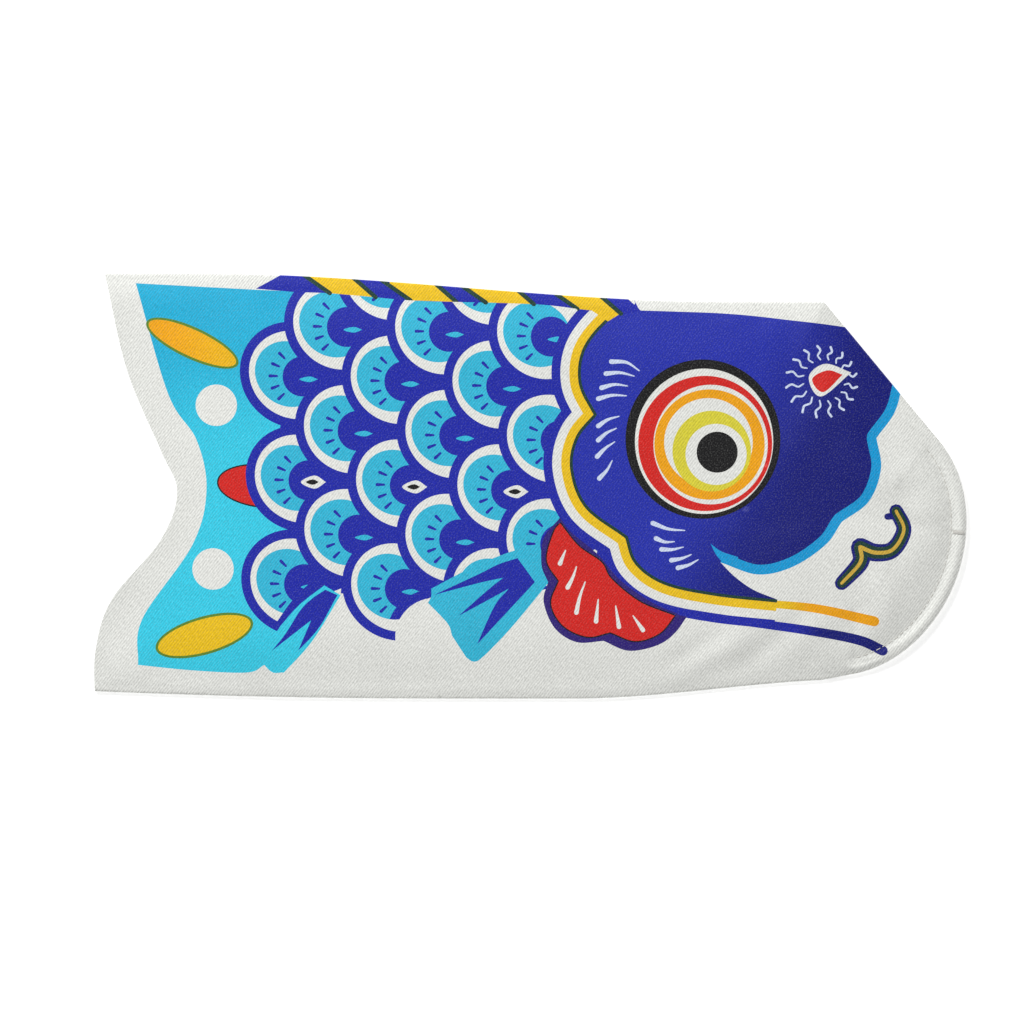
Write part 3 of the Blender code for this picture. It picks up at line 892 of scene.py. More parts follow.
@dataclass
class ClothShape:
    """Heights of the two cloths over the plan, in millimetres.

    Args:
        plan: The flat outline.
        crown: Height of the upper cloth's top over the body.
        tail_crown: Its height at the open tail.
        seam_z: Height of the line where the two cloths are sewn together.
        slope: Width over which the upper cloth rises from its edges.
        stitch_in: Distance of the hem's stitch line inside the hoop.
        stitch_z: Height of the upper cloth at the stitch line.
        cloth: Thickness of the cloth.
        creases: Each crease's middle, turn in degrees, half length, half width and height.
        lift: Height change of the settled upper cloth, once it is known.
    """

    plan: SleevePlan
    crown: float = 8.4
    tail_crown: float = 5.6
    seam_z: float = 1.9
    slope: float = 36.0
    stitch_in: float = 4.3
    stitch_z: float = 4.2
    cloth: float = 0.26
    creases: tuple[tuple[Point, float, float, float, float], ...] = (
        ((66.0, -80.0), 28.0, 26.0, 5.0, -0.9),
        ((88.0, -76.0), 34.0, 24.0, 6.0, 0.8),
        ((104.0, -78.0), 42.0, 22.0, 5.0, -0.9),
        ((44.0, -84.0), 22.0, 30.0, 6.0, 0.6),
        ((126.0, -68.0), 60.0, 20.0, 6.0, 0.6),
        ((148.0, -62.0), 75.0, 18.0, 6.0, -0.7),
        ((164.0, -50.0), 100.0, 20.0, 6.0, 0.8),
        ((176.0, -18.0), 170.0, 16.0, 4.0, -0.9),
        ((172.0, 4.0), 20.0, 22.0, 6.0, 0.8),
        ((160.0, 22.0), 115.0, 26.0, 7.0, -0.8),
        ((118.0, 30.0), 70.0, 40.0, 12.0, -0.8),
        ((134.0, -12.0), 60.0, 46.0, 14.0, 0.8),
        ((-60.0, -84.0), 12.0, 34.0, 8.0, 0.6),
        ((-140.0, -88.0), 8.0, 30.0, 7.0, -0.6),
        ((-176.0, 60.0), 70.0, 30.0, 10.0, 0.8),
        ((-150.0, 20.0), 95.0, 40.0, 14.0, -0.6),
    )
    lift: Callable[[np.ndarray, np.ndarray], np.ndarray] | None = None

    def swell(self, x: np.ndarray, y: np.ndarray) -> np.ndarray:
        """The soft unevenness of cloth that lies loose: long waves and creases.

        Args:
            x: Places along the body.
            y: Places across the body.

        Returns:
            Heights in millimetres.
        """
        wave = 0.30 * np.sin(x / 31.0 + y / 46.0) + 0.22 * np.sin(x / 17.0 - y / 23.0 + 1.3)
        wave += 0.10 * np.sin(x / 7.9 + y / 11.0 + 0.6) * np.sin(y / 19.0 - 0.4)
        for (cx, cy), turn, long, wide, height in self.creases:
            c, s = math.cos(math.radians(turn)), math.sin(math.radians(turn))
            along = (x - cx) * c + (y - cy) * s
            across = (y - cy) * c - (x - cx) * s
            wave = wave + height * np.exp(-((along / long) ** 2) - (across / wide) ** 2)
        return wave

    def upper(self, x: np.ndarray, y: np.ndarray) -> np.ndarray:
        """Height of the upper cloth's outer face.

        Args:
            x: Places along the body.
            y: Places across the body.

        Returns:
            Heights in millimetres.
        """
        plan = self.plan
        inward = np.maximum(plan.edge_distance(x, y), 0.0)
        top = self.crown - (self.crown - self.tail_crown) * ease((-130.0 - x) / 65.0)
        rounded = np.sqrt(1 - (1 - np.minimum(inward / 1.0, 1.0)) ** 2)
        rise = 1 - (1 - np.minimum(inward / self.slope, 1.0)) ** 2.2
        side = self.seam_z + 1.0 * rounded + (top - self.seam_z - 1.0) * rise
        offset, angle = plan.hoop_offset(x, y)
        over_hoop = 4.7 - 0.34 * offset**2
        side = np.logaddexp(side / 0.25, over_hoop / 0.25) * 0.25
        hem = self.hem_height(offset, angle, top)
        outside = ease((plan.fold_angle - angle) / 0.25) + ease((angle - plan.belly_angle) / 0.25)
        behind = ease(-angle / 0.05)
        away = np.clip(outside + behind + ease((-offset - 26.0) / 12.0), 0, 1)
        hem = hem + away * 6.0
        soft = 0.35
        height = -soft * np.logaddexp(-side / soft, -hem / soft)
        calm = ease((inward - 2.0) / 16.0) * ease((-offset - 5.0) / 14.0 + 4.0 * away)
        height = height + self.swell(x, y) * calm
        if self.lift is not None:
            height = height + self.lift(x, y) * ease((inward - 1.0) / 6.0)
        return height

    def hem_height(self, offset: np.ndarray, angle: np.ndarray, top: np.ndarray) -> np.ndarray:
        """Height of the hem's own profile: over the hoop, down to the stitches, up to the crown.

        Args:
            offset: Distances outwards from the hoop.
            angle: Places on the hoop, in radians.
            top: Heights of the cloth inside the hem.

        Returns:
            Heights in millimetres.
        """
        radius = self.plan.hem_radius
        over = radius + np.sqrt(np.maximum(radius**2 - np.minimum(np.abs(offset), radius) ** 2, 0.0))
        turn_in = -0.57 * radius
        share = np.clip((offset + self.stitch_in) / (self.stitch_in + turn_in), 0, 1)
        shoulder = radius + math.sqrt(radius**2 - turn_in**2)
        ruck = 0.5 + 0.5 * np.sin(38 * angle + 2.1 * np.sin(5 * angle)) * np.sin(9 * angle + 0.7)
        valley = self.stitch_z + 0.22 * (ruck - 0.5)
        down = valley + (shoulder - valley) * share**2
        inner = np.clip((-self.stitch_in - offset) / 30.0, 0, 1)
        fade = np.exp(-np.maximum(-self.stitch_in - offset, 0.0) / 5.0)
        up = self.stitch_z + (top - self.stitch_z) * (1 - (1 - inner) ** 2.2)
        up = up + (0.22 * (ruck - 0.5) + 0.35 * (ruck - 0.5) * (1 - fade)) * fade
        beyond = radius + 3.0 * np.maximum(offset - radius, 0.0)
        height = np.where(offset > turn_in, over, down)
        height = np.where(offset < -self.stitch_in, up, height)
        return np.where(offset > radius, beyond, height)

    def lower(self, x: np.ndarray, y: np.ndarray) -> np.ndarray:
        """Height of the lower cloth's outer face, which lies on the floor."""
        inward = np.maximum(self.plan.edge_distance(x, y), 0.0)
        rounded = 1 - np.sqrt(1 - (1 - np.minimum(inward / 1.4, 1.0)) ** 2)
        return 0.04 + (self.seam_z - 0.08) * rounded

    def normals(self, height: Callable, x: np.ndarray, y: np.ndarray) -> np.ndarray:
        """Upward unit normals of a height over the plan.

        Args:
            height: Gives the height at places of the plan.
            x: Places along the body.
            y: Places across the body.

        Returns:
            One normal for each point.
        """
        step = 0.05
        dx = (height(x + step, y) - height(x - step, y)) / (2 * step)
        dy = (height(x, y + step) - height(x, y - step)) / (2 * step)
        steep = np.maximum(np.hypot(dx, dy) / 3.0, 1.0)
        normal = np.column_stack((-dx / steep, -dy / steep, np.ones(len(x))))
        return normal / np.linalg.norm(normal, axis=1)[:, None]


@dataclass
class ClothCut:
    """The printed cloth, cut into triangles along the print's outlines.

    Args:
        plan: The flat outline.
        print_shapes: The print, from the bottom ink up.
        pitch: Spacing of the plain points between the outlines.
        splits: Where the cloth's sections meet, from the tail to the head.
    """

    plan: SleevePlan
    print_shapes: list[Shape]
    pitch: float = 2.4
    splits: tuple[float, float] = SPLITS

    def cut(self) -> None:
        """Make the triangles, their inks and their colours."""
        points: list[Point] = []
        edges: list[tuple[int, int]] = []

        def add_loop(loop: Sequence[Point], closed: bool = True) -> None:
            """Add an outline, with points between those that are far apart.

            Args:
                loop: The outline's points.
                closed: Whether its last point joins its first.
            """
            start = len(points)
            for here, there in zip(loop, [*loop[1:], loop[0]] if closed else loop[1:]):
                parts = math.ceil(math.dist(here, there) / self.pitch)
                way = (there[0] - here[0], there[1] - here[1])
                points.extend(
                    (here[0] + way[0] * i / parts, here[1] + way[1] * i / parts) for i in range(parts)
                )
            count = len(points) - start
            edges.extend((start + i, start + (i + 1) % count) for i in range(count if closed else count - 1))

        border = self.plan.outline()
        add_loop(border)
        for shape in self.print_shapes:
            add_loop(shape.loop)
        add_loop(self.hem_ring())
        for x in self.splits:
            add_loop([(x, -120.0), (x, 120.0), (x, 120.5)], False)
        points.extend(self.plain_points())
        found, _, faces = delaunay_2d_cdt([Vector(p) for p in points], edges, [], 0, 1e-4, False)[:3]
        self.points = np.array(found, float).reshape(-1, 2)
        triangles = np.array([face for face in faces if len(face) == 3])
        centres = self.points[triangles].mean(1)
        area = self.signed_area(triangles)
        keep = Shape(border, Ink.CLOTH).covers(centres) & (np.abs(area) > 1e-5)
        self.triangles, centres, area = triangles[keep], centres[keep], area[keep]
        self.triangles[area < 0] = self.triangles[area < 0][:, ::-1]
        self.centres = centres
        self.areas = np.abs(area)
        self.paint()

    def signed_area(self, triangles: np.ndarray) -> np.ndarray:
        """Signed areas of triangles."""
        a, b, c = (self.points[triangles[:, i]] for i in range(3))
        return 0.5 * ((b - a)[:, 0] * (c - a)[:, 1] - (b - a)[:, 1] * (c - a)[:, 0])

    def hem_ring(self) -> list[Point]:
        """The oval where the lower cloth stops, round the outside of its hem."""
        gap = self.plan.hem_radius + 1.4
        return [self.plan.hoop_point(math.tau * i / 240, gap) for i in range(240)]

    def plain_points(self) -> list[Point]:
        """Points that follow the shape: a grid, rows along the edges and rings over the hem."""
        plan = self.plan
        xs = np.arange(plan.tail + 1, plan.front, self.pitch)
        ys = np.arange(plan.belly + 1, plan.back, self.pitch)
        grid = [(float(x) + 0.4 * self.pitch * (j % 2), float(y)) for x in xs for j, y in enumerate(ys)]
        for x in np.arange(plan.tail + 1, plan.front, 2.0):
            for inset in (0.15, 0.4, 0.7, 1.1, 1.6, 2.4, 3.6):
                grid.append((float(x), float(plan.back_edge(x)) - inset))
                grid.append((float(x), float(plan.belly_edge(x)) + inset))
        start, end = np.array(plan.corner), np.array(plan.hoop_point(plan.fold_angle, plan.hem_radius))
        way = (end - start) / np.linalg.norm(end - start)
        for t in np.linspace(0, 1, 45):
            for inset in (0.15, 0.4, 0.7, 1.1, 1.6, 2.4, 3.6):
                point = start + (end - start) * t + inset * np.array((way[1], -way[0]))
                grid.append((float(point[0]), float(point[1])))
        rings = (2.77, 2.65, 2.4, 2.0, 1.4, 0.7, 0.0, -0.7, -1.4, -2.1, -2.8, -3.4, -3.9, -4.3, -4.7,
                 -5.4, -6.4)
        for angle in plan.mouth_angles(1.2):
            grid.extend(plan.hoop_point(angle, offset) for offset in rings)
        return grid

    def paint(self) -> None:
        """Give each triangle the topmost ink that covers it, and each corner its colour."""
        inks = list(Ink)
        number = {ink: index for index, ink in enumerate(inks)}
        top = np.full(len(self.triangles), number[Ink.CLOTH])
        corners = self.points[self.triangles]
        colour = np.tile(linear_colour(Ink.CLOTH.value), (len(top), 3, 1))
        for shape in self.print_shapes:
            covered = shape.covers(self.centres)
            if shape.over:
                covered &= np.isin(top, [number[ink] for ink in shape.over])
            if shape.off:
                covered &= ~np.isin(top, [number[ink] for ink in shape.off])
            rows = np.flatnonzero(covered)
            top[rows] = number[shape.ink]
            colour[rows] = shape.colours(corners[rows].reshape(-1, 2)).reshape(-1, 3, 3)
        self.colour = colour

    def section(self, number: int) -> np.ndarray:
        """Tell which triangles lie in a section, 0 at the tail."""
        bounds = (-math.inf, *self.splits, math.inf)
        x = self.centres[:, 0]
        return (x > bounds[number]) & (x <= bounds[number + 1])


def add_piece(name: str, mesh: bpy.types.Mesh) -> bpy.types.Object:
    """Put a mesh in the scene as a piece."""
    piece = bpy.data.objects.new(name, mesh)
    bpy.context.scene.collection.objects.link(piece)
    return piece


def build_shell(
    name: str, cut: ClothCut, rows: np.ndarray, shape: ClothShape, height: Callable, up: bool
) -> bpy.types.Object:
    """Build one section of cloth with its two faces and its cut edges.

    Args:
        name: The piece's name.
        cut: The cloth's triangles.
        rows: Which triangles belong to the piece.
        shape: The cloth's heights.
        height: Height of its outer, printed face.
        up: Whether the printed face looks up.

    Returns:
        The piece, with its inks in the colour attribute "ink".
    """
    triangles = cut.triangles[rows]
    used, local = np.unique(triangles, return_inverse=True)
    local = local.reshape(-1, 3)
    plan_points = cut.points[used]
    x, y = plan_points.T
    outer = np.column_stack((x, y, height(x, y)))
    normal = shape.normals(height, x, y)
    inner = outer + normal * (-shape.cloth if up else shape.cloth)
    count = len(used)
    outer_faces = local if up else local[:, ::-1]
    inner_faces = (local[:, ::-1] if up else local) + count
    colour = cut.colour[rows]
    outer_colour = colour if up else colour[:, ::-1]
    inner_colour = colour[:, ::-1] if up else colour
    edges = np.concatenate([outer_faces[:, [0, 1]], outer_faces[:, [1, 2]], outer_faces[:, [2, 0]]])
    edge_colour = np.concatenate([outer_colour[:, 0], outer_colour[:, 1], outer_colour[:, 2]])
    known = {(int(a), int(b)) for a, b in edges}
    rim, rim_colour = [], []
    for (a, b), ink in zip(edges.tolist(), edge_colour):
        if (b, a) not in known:
            rim.append((b, a, a + count, b + count))
            rim_colour.extend([ink] * 4)
    mesh = bpy.data.meshes.new(name)
    vertices = np.vstack((outer, inner)) * MM
    faces = outer_faces.tolist() + inner_faces.tolist() + rim
    mesh.from_pydata(vertices.tolist(), [], faces)
    paint = np.vstack((outer_colour.reshape(-1, 3), inner_colour.reshape(-1, 3), np.array(rim_colour)))
    layer = mesh.color_attributes.new("ink", "FLOAT_COLOR", "CORNER")
    layer.data.foreach_set("color", np.column_stack((paint, np.ones(len(paint)))).astype(np.float32).ravel())
    loops = np.zeros(len(mesh.loops), np.int32)
    mesh.loops.foreach_get("vertex_index", loops)
    flat = np.vstack((plan_points, plan_points))[loops]
    weave = mesh.uv_layers.new(name="weave")
    weave.data.foreach_set("uv", flat.astype(np.float32).ravel())
    side = np.zeros(len(faces), np.int32)
    side[len(outer_faces):len(outer_faces) + len(inner_faces)] = 1
    mesh.polygons.foreach_set("material_index", side)
    mesh.shade_smooth()
    facing = normal if up else -normal
    custom = np.vstack((facing, -facing))
    mesh.normals_split_custom_set_from_vertices(custom.tolist())
    return add_piece(name, mesh)


@dataclass
class Loosening:
    """The upper cloth's cloth simulation: sewn edges stay, and the loose middle settles.

    Args:
        cut: The cloth's triangles.
        shape: The cloth's heights before it settles.
        pitch: Spacing of the simulated grid.
        frames: Steps that are simulated.
        spare: How much longer each thread is than the space it has.
        most: The furthest that any point may settle.
    """

    cut: ClothCut
    shape: ClothShape
    pitch: float = 4.0
    frames: int = 24
    spare: float = 0.012
    most: float = 1.1

    def run(self) -> Callable[[np.ndarray, np.ndarray], np.ndarray]:
        """Simulate the cloth, and return how far it rises or sinks over the plan."""
        plan = self.cut.plan
        columns = int((plan.front - plan.tail) / self.pitch) + 2
        lines = int((plan.back - plan.belly) / self.pitch) + 2
        xs = plan.tail + self.pitch * np.arange(columns)
        ys = plan.belly + self.pitch * np.arange(lines)
        gx, gy = np.meshgrid(xs, ys, indexing="ij")
        x, y = gx.ravel(), gy.ravel()
        z = self.shape.upper(x, y)
        inside = Shape(plan.outline(), Ink.CLOTH).covers(np.column_stack((x, y)))
        offset, _ = plan.hoop_offset(x, y)
        held = ~inside | (plan.edge_distance(x, y) < 5.0) | (np.abs(offset) < 6.0)
        mesh = bpy.data.meshes.new("loosening")
        grid = [
            (i * lines + j, (i + 1) * lines + j, (i + 1) * lines + j + 1, i * lines + j + 1)
            for i in range(columns - 1) for j in range(lines - 1)
        ]
        mesh.from_pydata((np.column_stack((x, y, z)) * MM).tolist(), [], grid)
        sheet = add_piece("loosening", mesh)
        pins = sheet.vertex_groups.new(name="pins")
        pins.add([int(i) for i in np.flatnonzero(held)], 1.0, "REPLACE")
        cloth = sheet.modifiers.new("Cloth", "CLOTH")
        settings = cloth.settings
        settings.vertex_group_mass = "pins"
        settings.quality = 6
        settings.mass = 0.12
        settings.tension_stiffness = 12
        settings.compression_stiffness = 12
        settings.shear_stiffness = 4
        settings.bending_stiffness = 0.02
        settings.shrink_min = -self.spare
        settings.shrink_max = -self.spare
        settings.effector_weights.gravity = 0.25
        settings.use_pressure = True
        settings.uniform_pressure_force = 0.02
        cloth.point_cache.frame_start = 1
        cloth.point_cache.frame_end = self.frames
        scene = bpy.context.scene
        for step in range(1, self.frames + 1):
            scene.frame_set(step)
        settled = sheet.evaluated_get(bpy.context.evaluated_depsgraph_get()).to_mesh()
        moved = np.zeros(len(x) * 3, np.float32)
        settled.vertices.foreach_get("co", moved)
        scene.frame_set(1)
        bpy.data.objects.remove(sheet)
        change = np.where(held, 0.0, moved.reshape(-1, 3)[:, 2] / MM - z)
        change = self.most * np.tanh(change / self.most)
        field_of = change.reshape(columns, lines)
        for _ in range(2):
            padded = np.pad(field_of, 1, mode="edge")
            field_of = (
                4 * field_of + padded[:-2, 1:-1] + padded[2:, 1:-1] + padded[1:-1, :-2] + padded[1:-1, 2:]
            ) / 8
        log.info("cloth settled by %.2f to %.2f mm", float(change.min()), float(change.max()))
        return self.reader(field_of)

    def reader(self, values: np.ndarray) -> Callable[[np.ndarray, np.ndarray], np.ndarray]:
        """Read the settled heights smoothly between the grid's points.

        Args:
            values: Height change at each point of the grid.

        Returns:
            A function of places in the plan.
        """
        plan, pitch = self.cut.plan, self.pitch

        def weights(t: np.ndarray) -> tuple[np.ndarray, ...]:
            """Smooth weights of four neighbours."""
            return (
                (1 - t) ** 3 / 6, (3 * t**3 - 6 * t**2 + 4) / 6,
                (-3 * t**3 + 3 * t**2 + 3 * t + 1) / 6, t**3 / 6,
            )

        def read(x: np.ndarray, y: np.ndarray) -> np.ndarray:
            """Height change at points of the plan.

            Args:
                x: Places along the body.
                y: Places across the body.

            Returns:
                Heights in millimetres.
            """
            u, v = (x - plan.tail) / pitch, (y - plan.belly) / pitch
            i, j = np.floor(u).astype(int), np.floor(v).astype(int)
            total = np.zeros(len(x))
            for a, wa in enumerate(weights(u - i)):
                for b, wb in enumerate(weights(v - j)):
                    row = np.clip(i + a - 1, 0, values.shape[0] - 1)
                    line = np.clip(j + b - 1, 0, values.shape[1] - 1)
                    total += wa * wb * values[row, line]
            return total

        return read


Profile = Callable[[float], Sequence[Point]]


def grid_mesh(name: str, rings: np.ndarray, flat: np.ndarray, looped: bool) -> bpy.types.Mesh:
    """Skin rings of points into a closed mesh.

    Args:
        name: The mesh's name.
        rings: Points in millimetres, one ring after another, each ring closed.
        flat: Two flat coordinates for each point, for the finish.
        looped: Whether the last ring joins the first; otherwise both ends are capped.

    Returns:
        The mesh, with its flat coordinates in the map "weave".
    """
    count, sides = rings.shape[:2]
    last = count if looped else count - 1
    faces = []
    for i in range(last):
        here, there = i * sides, (i + 1) % count * sides
        for j in range(sides):
            k = (j + 1) % sides
            faces.append((here + j, there + j, there + k, here + k))
    if not looped:
        faces.append(tuple(range(sides)))
        faces.append(tuple(range((count - 1) * sides, count * sides))[::-1])
    mesh = bpy.data.meshes.new(name)
    mesh.from_pydata((rings.reshape(-1, 3) * MM).tolist(), [], faces)
    finish_mesh(mesh, flat.reshape(-1, 2))
    return mesh


def finish_mesh(mesh: bpy.types.Mesh, flat: np.ndarray, sharp: float = 55.0) -> None:
    """Give a mesh its flat coordinates and smooth shading.

    Args:
        mesh: The mesh.
        flat: Two flat coordinates for each vertex.
        sharp: Angle from which an edge stays sharp, in degrees.
    """
    loops = np.zeros(len(mesh.loops), np.int32)
    mesh.loops.foreach_get("vertex_index", loops)
    layer = mesh.uv_layers.new(name="weave")
    layer.data.foreach_set("uv", flat[loops].astype(np.float32).ravel())
    mesh.shade_smooth()
    mesh.set_sharp_from_angle(angle=math.radians(sharp))


def thread_mesh(name: str, runs: Sequence[np.ndarray], radius: float, sides: int = 6) -> bpy.types.Mesh:
    """Round threads along runs of points, all in one mesh.

    Args:
        name: The mesh's name.
        runs: Middle lines in millimetres.
        radius: The thread's radius.
        sides: Sides of its cross-section.

    Returns:
        The mesh.
    """
    vertices: list[np.ndarray] = []
    faces: list[tuple[int, ...]] = []
    flats: list[np.ndarray] = []
    base = 0
    for run in runs:
        way = np.gradient(run, axis=0)
        way /= np.linalg.norm(way, axis=1)[:, None]
        side = np.cross(way, (0.0, 0.0, 1.0)) + np.array((1e-6, 0, 0))
        side /= np.linalg.norm(side, axis=1)[:, None]
        rise = np.cross(side, way)
        length = np.concatenate(([0], np.cumsum(np.linalg.norm(np.diff(run, axis=0), axis=1))))
        ends = np.minimum(length, length[-1] - length)
        thick = radius * np.sqrt(np.clip(1 - (1 - np.minimum(ends / radius, 1.0)) ** 2, 0.08, 1))
        turns = math.tau * np.arange(sides) / sides
        ring = run[:, None] + thick[:, None, None] * (
            side[:, None] * np.cos(turns)[None, :, None] + rise[:, None] * np.sin(turns)[None, :, None]
        )
        count = len(run)
        for i in range(count - 1):
            here, there = base + i * sides, base + (i + 1) * sides
            for j in range(sides):
                k = (j + 1) % sides
                faces.append((here + j, here + k, there + k, there + j))
        faces.append(tuple(base + j for j in range(sides))[::-1])
        faces.append(tuple(base + (count - 1) * sides + j for j in range(sides)))
        vertices.append(ring.reshape(-1, 3))
        around = np.broadcast_to(turns * radius, (count, sides))
        flats.append(np.stack((np.broadcast_to(length[:, None], (count, sides)), around), -1).reshape(-1, 2))
        base += count * sides
    mesh = bpy.data.meshes.new(name)
    mesh.from_pydata((np.vstack(vertices) * MM).tolist(), [], faces)
    finish_mesh(mesh, np.vstack(flats), 80.0)
    return mesh


def hoop_sweep(
    name: str, plan: SleevePlan, start: float, end: float, profile: Profile, step: float = 1.0
) -> bpy.types.Object:
    """Sweep a closed cross-section round part of the hoop's oval.

    Args:
        name: The piece's name.
        plan: The outline with the oval.
        start: First angle, in degrees.
        end: Last angle; a whole turn closes the sweep.
        profile: Gives the cross-section at an angle, as offset from the hoop and height.
        step: Angle between cross-sections, in degrees.

    Returns:
        The piece.
    """
    looped = end - start >= 360
    count = round((end - start) / step) + (0 if looped else 1)
    spans = count if looped else count - 1
    angles = [math.radians(start + (end - start) * i / spans) for i in range(count)]
    sections = [profile(angle) for angle in angles]
    rings = np.array([
        [(*plan.hoop_point(angle, offset), z) for offset, z in section]
        for angle, section in zip(angles, sections)
    ])
    middle = rings.mean(1)
    length = np.concatenate(([0], np.cumsum(np.linalg.norm(np.diff(middle, axis=0), axis=1))))
    shape = np.array(sections[0])
    around = np.concatenate(([0], np.cumsum(np.linalg.norm(np.diff(shape, axis=0), axis=1))))
    flat = np.stack(np.meshgrid(length, around, indexing="ij"), -1)
    return add_piece(name, grid_mesh(name, rings, flat, looped))


def strip(line: Sequence[Point], thickness: float) -> list[Point]:
    """Closed cross-section of cloth that follows a line, with a rounded edge at each end.

    Args:
        line: The cloth's middle line.
        thickness: Its thickness.

    Returns:
        The closed cross-section's points.
    """
    run = np.array(line, float)
    way = np.gradient(run, axis=0)
    way /= np.linalg.norm(way, axis=1)[:, None]
    side = np.column_stack((-way[:, 1], way[:, 0])) * thickness / 2
    ends = [run[-1] + way[-1] * thickness * 0.45, run[0] - way[0] * thickness * 0.45]
    loop = np.vstack((run + side, ends[0][None], (run - side)[::-1], ends[1][None]))
    return [(float(a), float(b)) for a, b in loop]


class Value:
    """A number in a shader, with the usual signs for its maths."""

    def __init__(self, shader: "Shader", socket: Any) -> None:
        """Wrap a node's output.

        Args:
            shader: The shader that the node is in.
            socket: The output that gives the number.
        """
        self.shader = shader
        self.socket = socket

    def math(self, operation: str, *others: Any) -> "Value":
        """Put this number and others through a maths node."""
        inputs = dict(enumerate((self, *others)))
        node = self.shader.node("ShaderNodeMath", {"operation": operation}, inputs)
        return Value(self.shader, node.outputs[0])

    def __add__(self, other: Any) -> "Value":
        """This plus other."""
        return self.math("ADD", other)

    def __radd__(self, other: Any) -> "Value":
        """Other plus this."""
        return self.math("ADD", other)

    def __sub__(self, other: Any) -> "Value":
        """This minus other."""
        return self.math("SUBTRACT", other)

    def __rsub__(self, other: Any) -> "Value":
        """Other minus this."""
        return self.math("MULTIPLY", -1.0).math("ADD", other)

    def __mul__(self, other: Any) -> "Value":
        """This times other."""
        return self.math("MULTIPLY", other)

    def __rmul__(self, other: Any) -> "Value":
        """Other times this."""
        return self.math("MULTIPLY", other)

    def __truediv__(self, other: Any) -> "Value":
        """This divided by other."""
        return self.math("DIVIDE", other)

    def __pow__(self, other: Any) -> "Value":
        """This to a power."""
        return self.math("POWER", other)

    def sine(self) -> "Value":
        """Its sine."""
        return self.math("SINE")

    def step(self, low: float, high: float) -> "Value":
        """Smooth step from 0 at low to 1 at high."""
        settings = {"interpolation_type": "SMOOTHSTEP"}
        inputs = {"Value": self, "From Min": low, "From Max": high}
        node = self.shader.node("ShaderNodeMapRange", settings, inputs)
        return Value(self.shader, node.outputs["Result"])


class Shader:
    """A material under construction."""

    def __init__(self, name: str) -> None:
        """Start a material with a Principled surface."""
        self.material = bpy.data.materials.new(name)
        self.material.use_nodes = True
        self.tree = self.material.node_tree
        self.surface = self.tree.nodes["Principled BSDF"]

    def node(self, kind: str, settings: dict[str, Any], inputs: dict[Any, Any]) -> Any:
        """Add a node.

        Args:
            kind: Its type.
            settings: Its properties, which are set first.
            inputs: Its inputs by name or number: a Value, a socket or a constant.

        Returns:
            The node.
        """
        made = self.tree.nodes.new(kind)
        for key, value in settings.items():
            setattr(made, key, value)
        for key, value in inputs.items():
            self.feed(made.inputs[key], value)
        return made

    def feed(self, target: Any, value: Any) -> None:
        """Connect a value to an input, or set it.

        Args:
            target: The node's input.
            value: A shader value, a socket or a plain value.
        """
        if isinstance(value, Value):
            self.tree.links.new(value.socket, target)
        elif isinstance(value, bpy.types.NodeSocket):
            self.tree.links.new(value, target)
        else:
            target.default_value = value

    def mix(self, factor: Any, first: Any, second: Any, blend: str = "MIX") -> Any:
        """Mix two colours."""
        settings = {"data_type": "RGBA", "blend_type": blend, "clamp_factor": True}
        return self.node("ShaderNodeMix", settings, {0: factor, 6: first, 7: second}).outputs[2]

    def scaled(self, colour: Any, amount: Any) -> Any:
        """Multiply a colour by a number."""
        colour = colour[:3] if isinstance(colour, tuple) else colour
        node = self.node("ShaderNodeVectorMath", {"operation": "SCALE"}, {0: colour, "Scale": amount})
        return node.outputs[0]

    def flat(self) -> Any:
        """The piece's flat coordinates, in millimetres."""
        return self.node("ShaderNodeUVMap", {"uv_map": "weave"}, {}).outputs[0]

    def ink(self) -> Any:
        """The colour of the ink."""
        return self.node("ShaderNodeVertexColor", {"layer_name": "ink"}, {}).outputs[0]

    def parts(self, vector: Any) -> tuple[Value, Value]:
        """The two flat coordinates on their own."""
        node = self.node("ShaderNodeSeparateXYZ", {}, {0: vector})
        return Value(self, node.outputs[0]), Value(self, node.outputs[1])

    def grain(self, vector: Any, scale: float, detail: float = 2.0, roughness: float = 0.5) -> Value:
        """Noise of a number of grains for each millimetre."""
        inputs = {"Vector": vector, "Scale": scale, "Detail": detail, "Roughness": roughness}
        return Value(self, self.node("ShaderNodeTexNoise", {"noise_dimensions": "2D"}, inputs).outputs[0])

    def stretched(self, vector: Any, turn: float, along: float, across: float) -> Any:
        """Turn flat coordinates and scale them, for grain that runs in one direction."""
        inputs = {"Vector": vector, "Rotation": (0, 0, turn), "Scale": (along, across, 1.0)}
        return self.node("ShaderNodeMapping", {"vector_type": "TEXTURE"}, inputs).outputs[0]

    def bump(self, height: Value, distance: float, strength: float = 1.0) -> Any:
        """Turn a height of 0 to 1 into a normal; distance is the full height in millimetres."""
        inputs = {"Height": height, "Distance": distance * MM, "Strength": strength}
        return self.node("ShaderNodeBump", {}, inputs).outputs[0]

    def finish(self, inputs: dict[str, Any]) -> bpy.types.Material:
        """Set the surface's inputs and return the material."""
        for key, value in inputs.items():
            self.feed(self.surface.inputs[key], value)
        return self.material


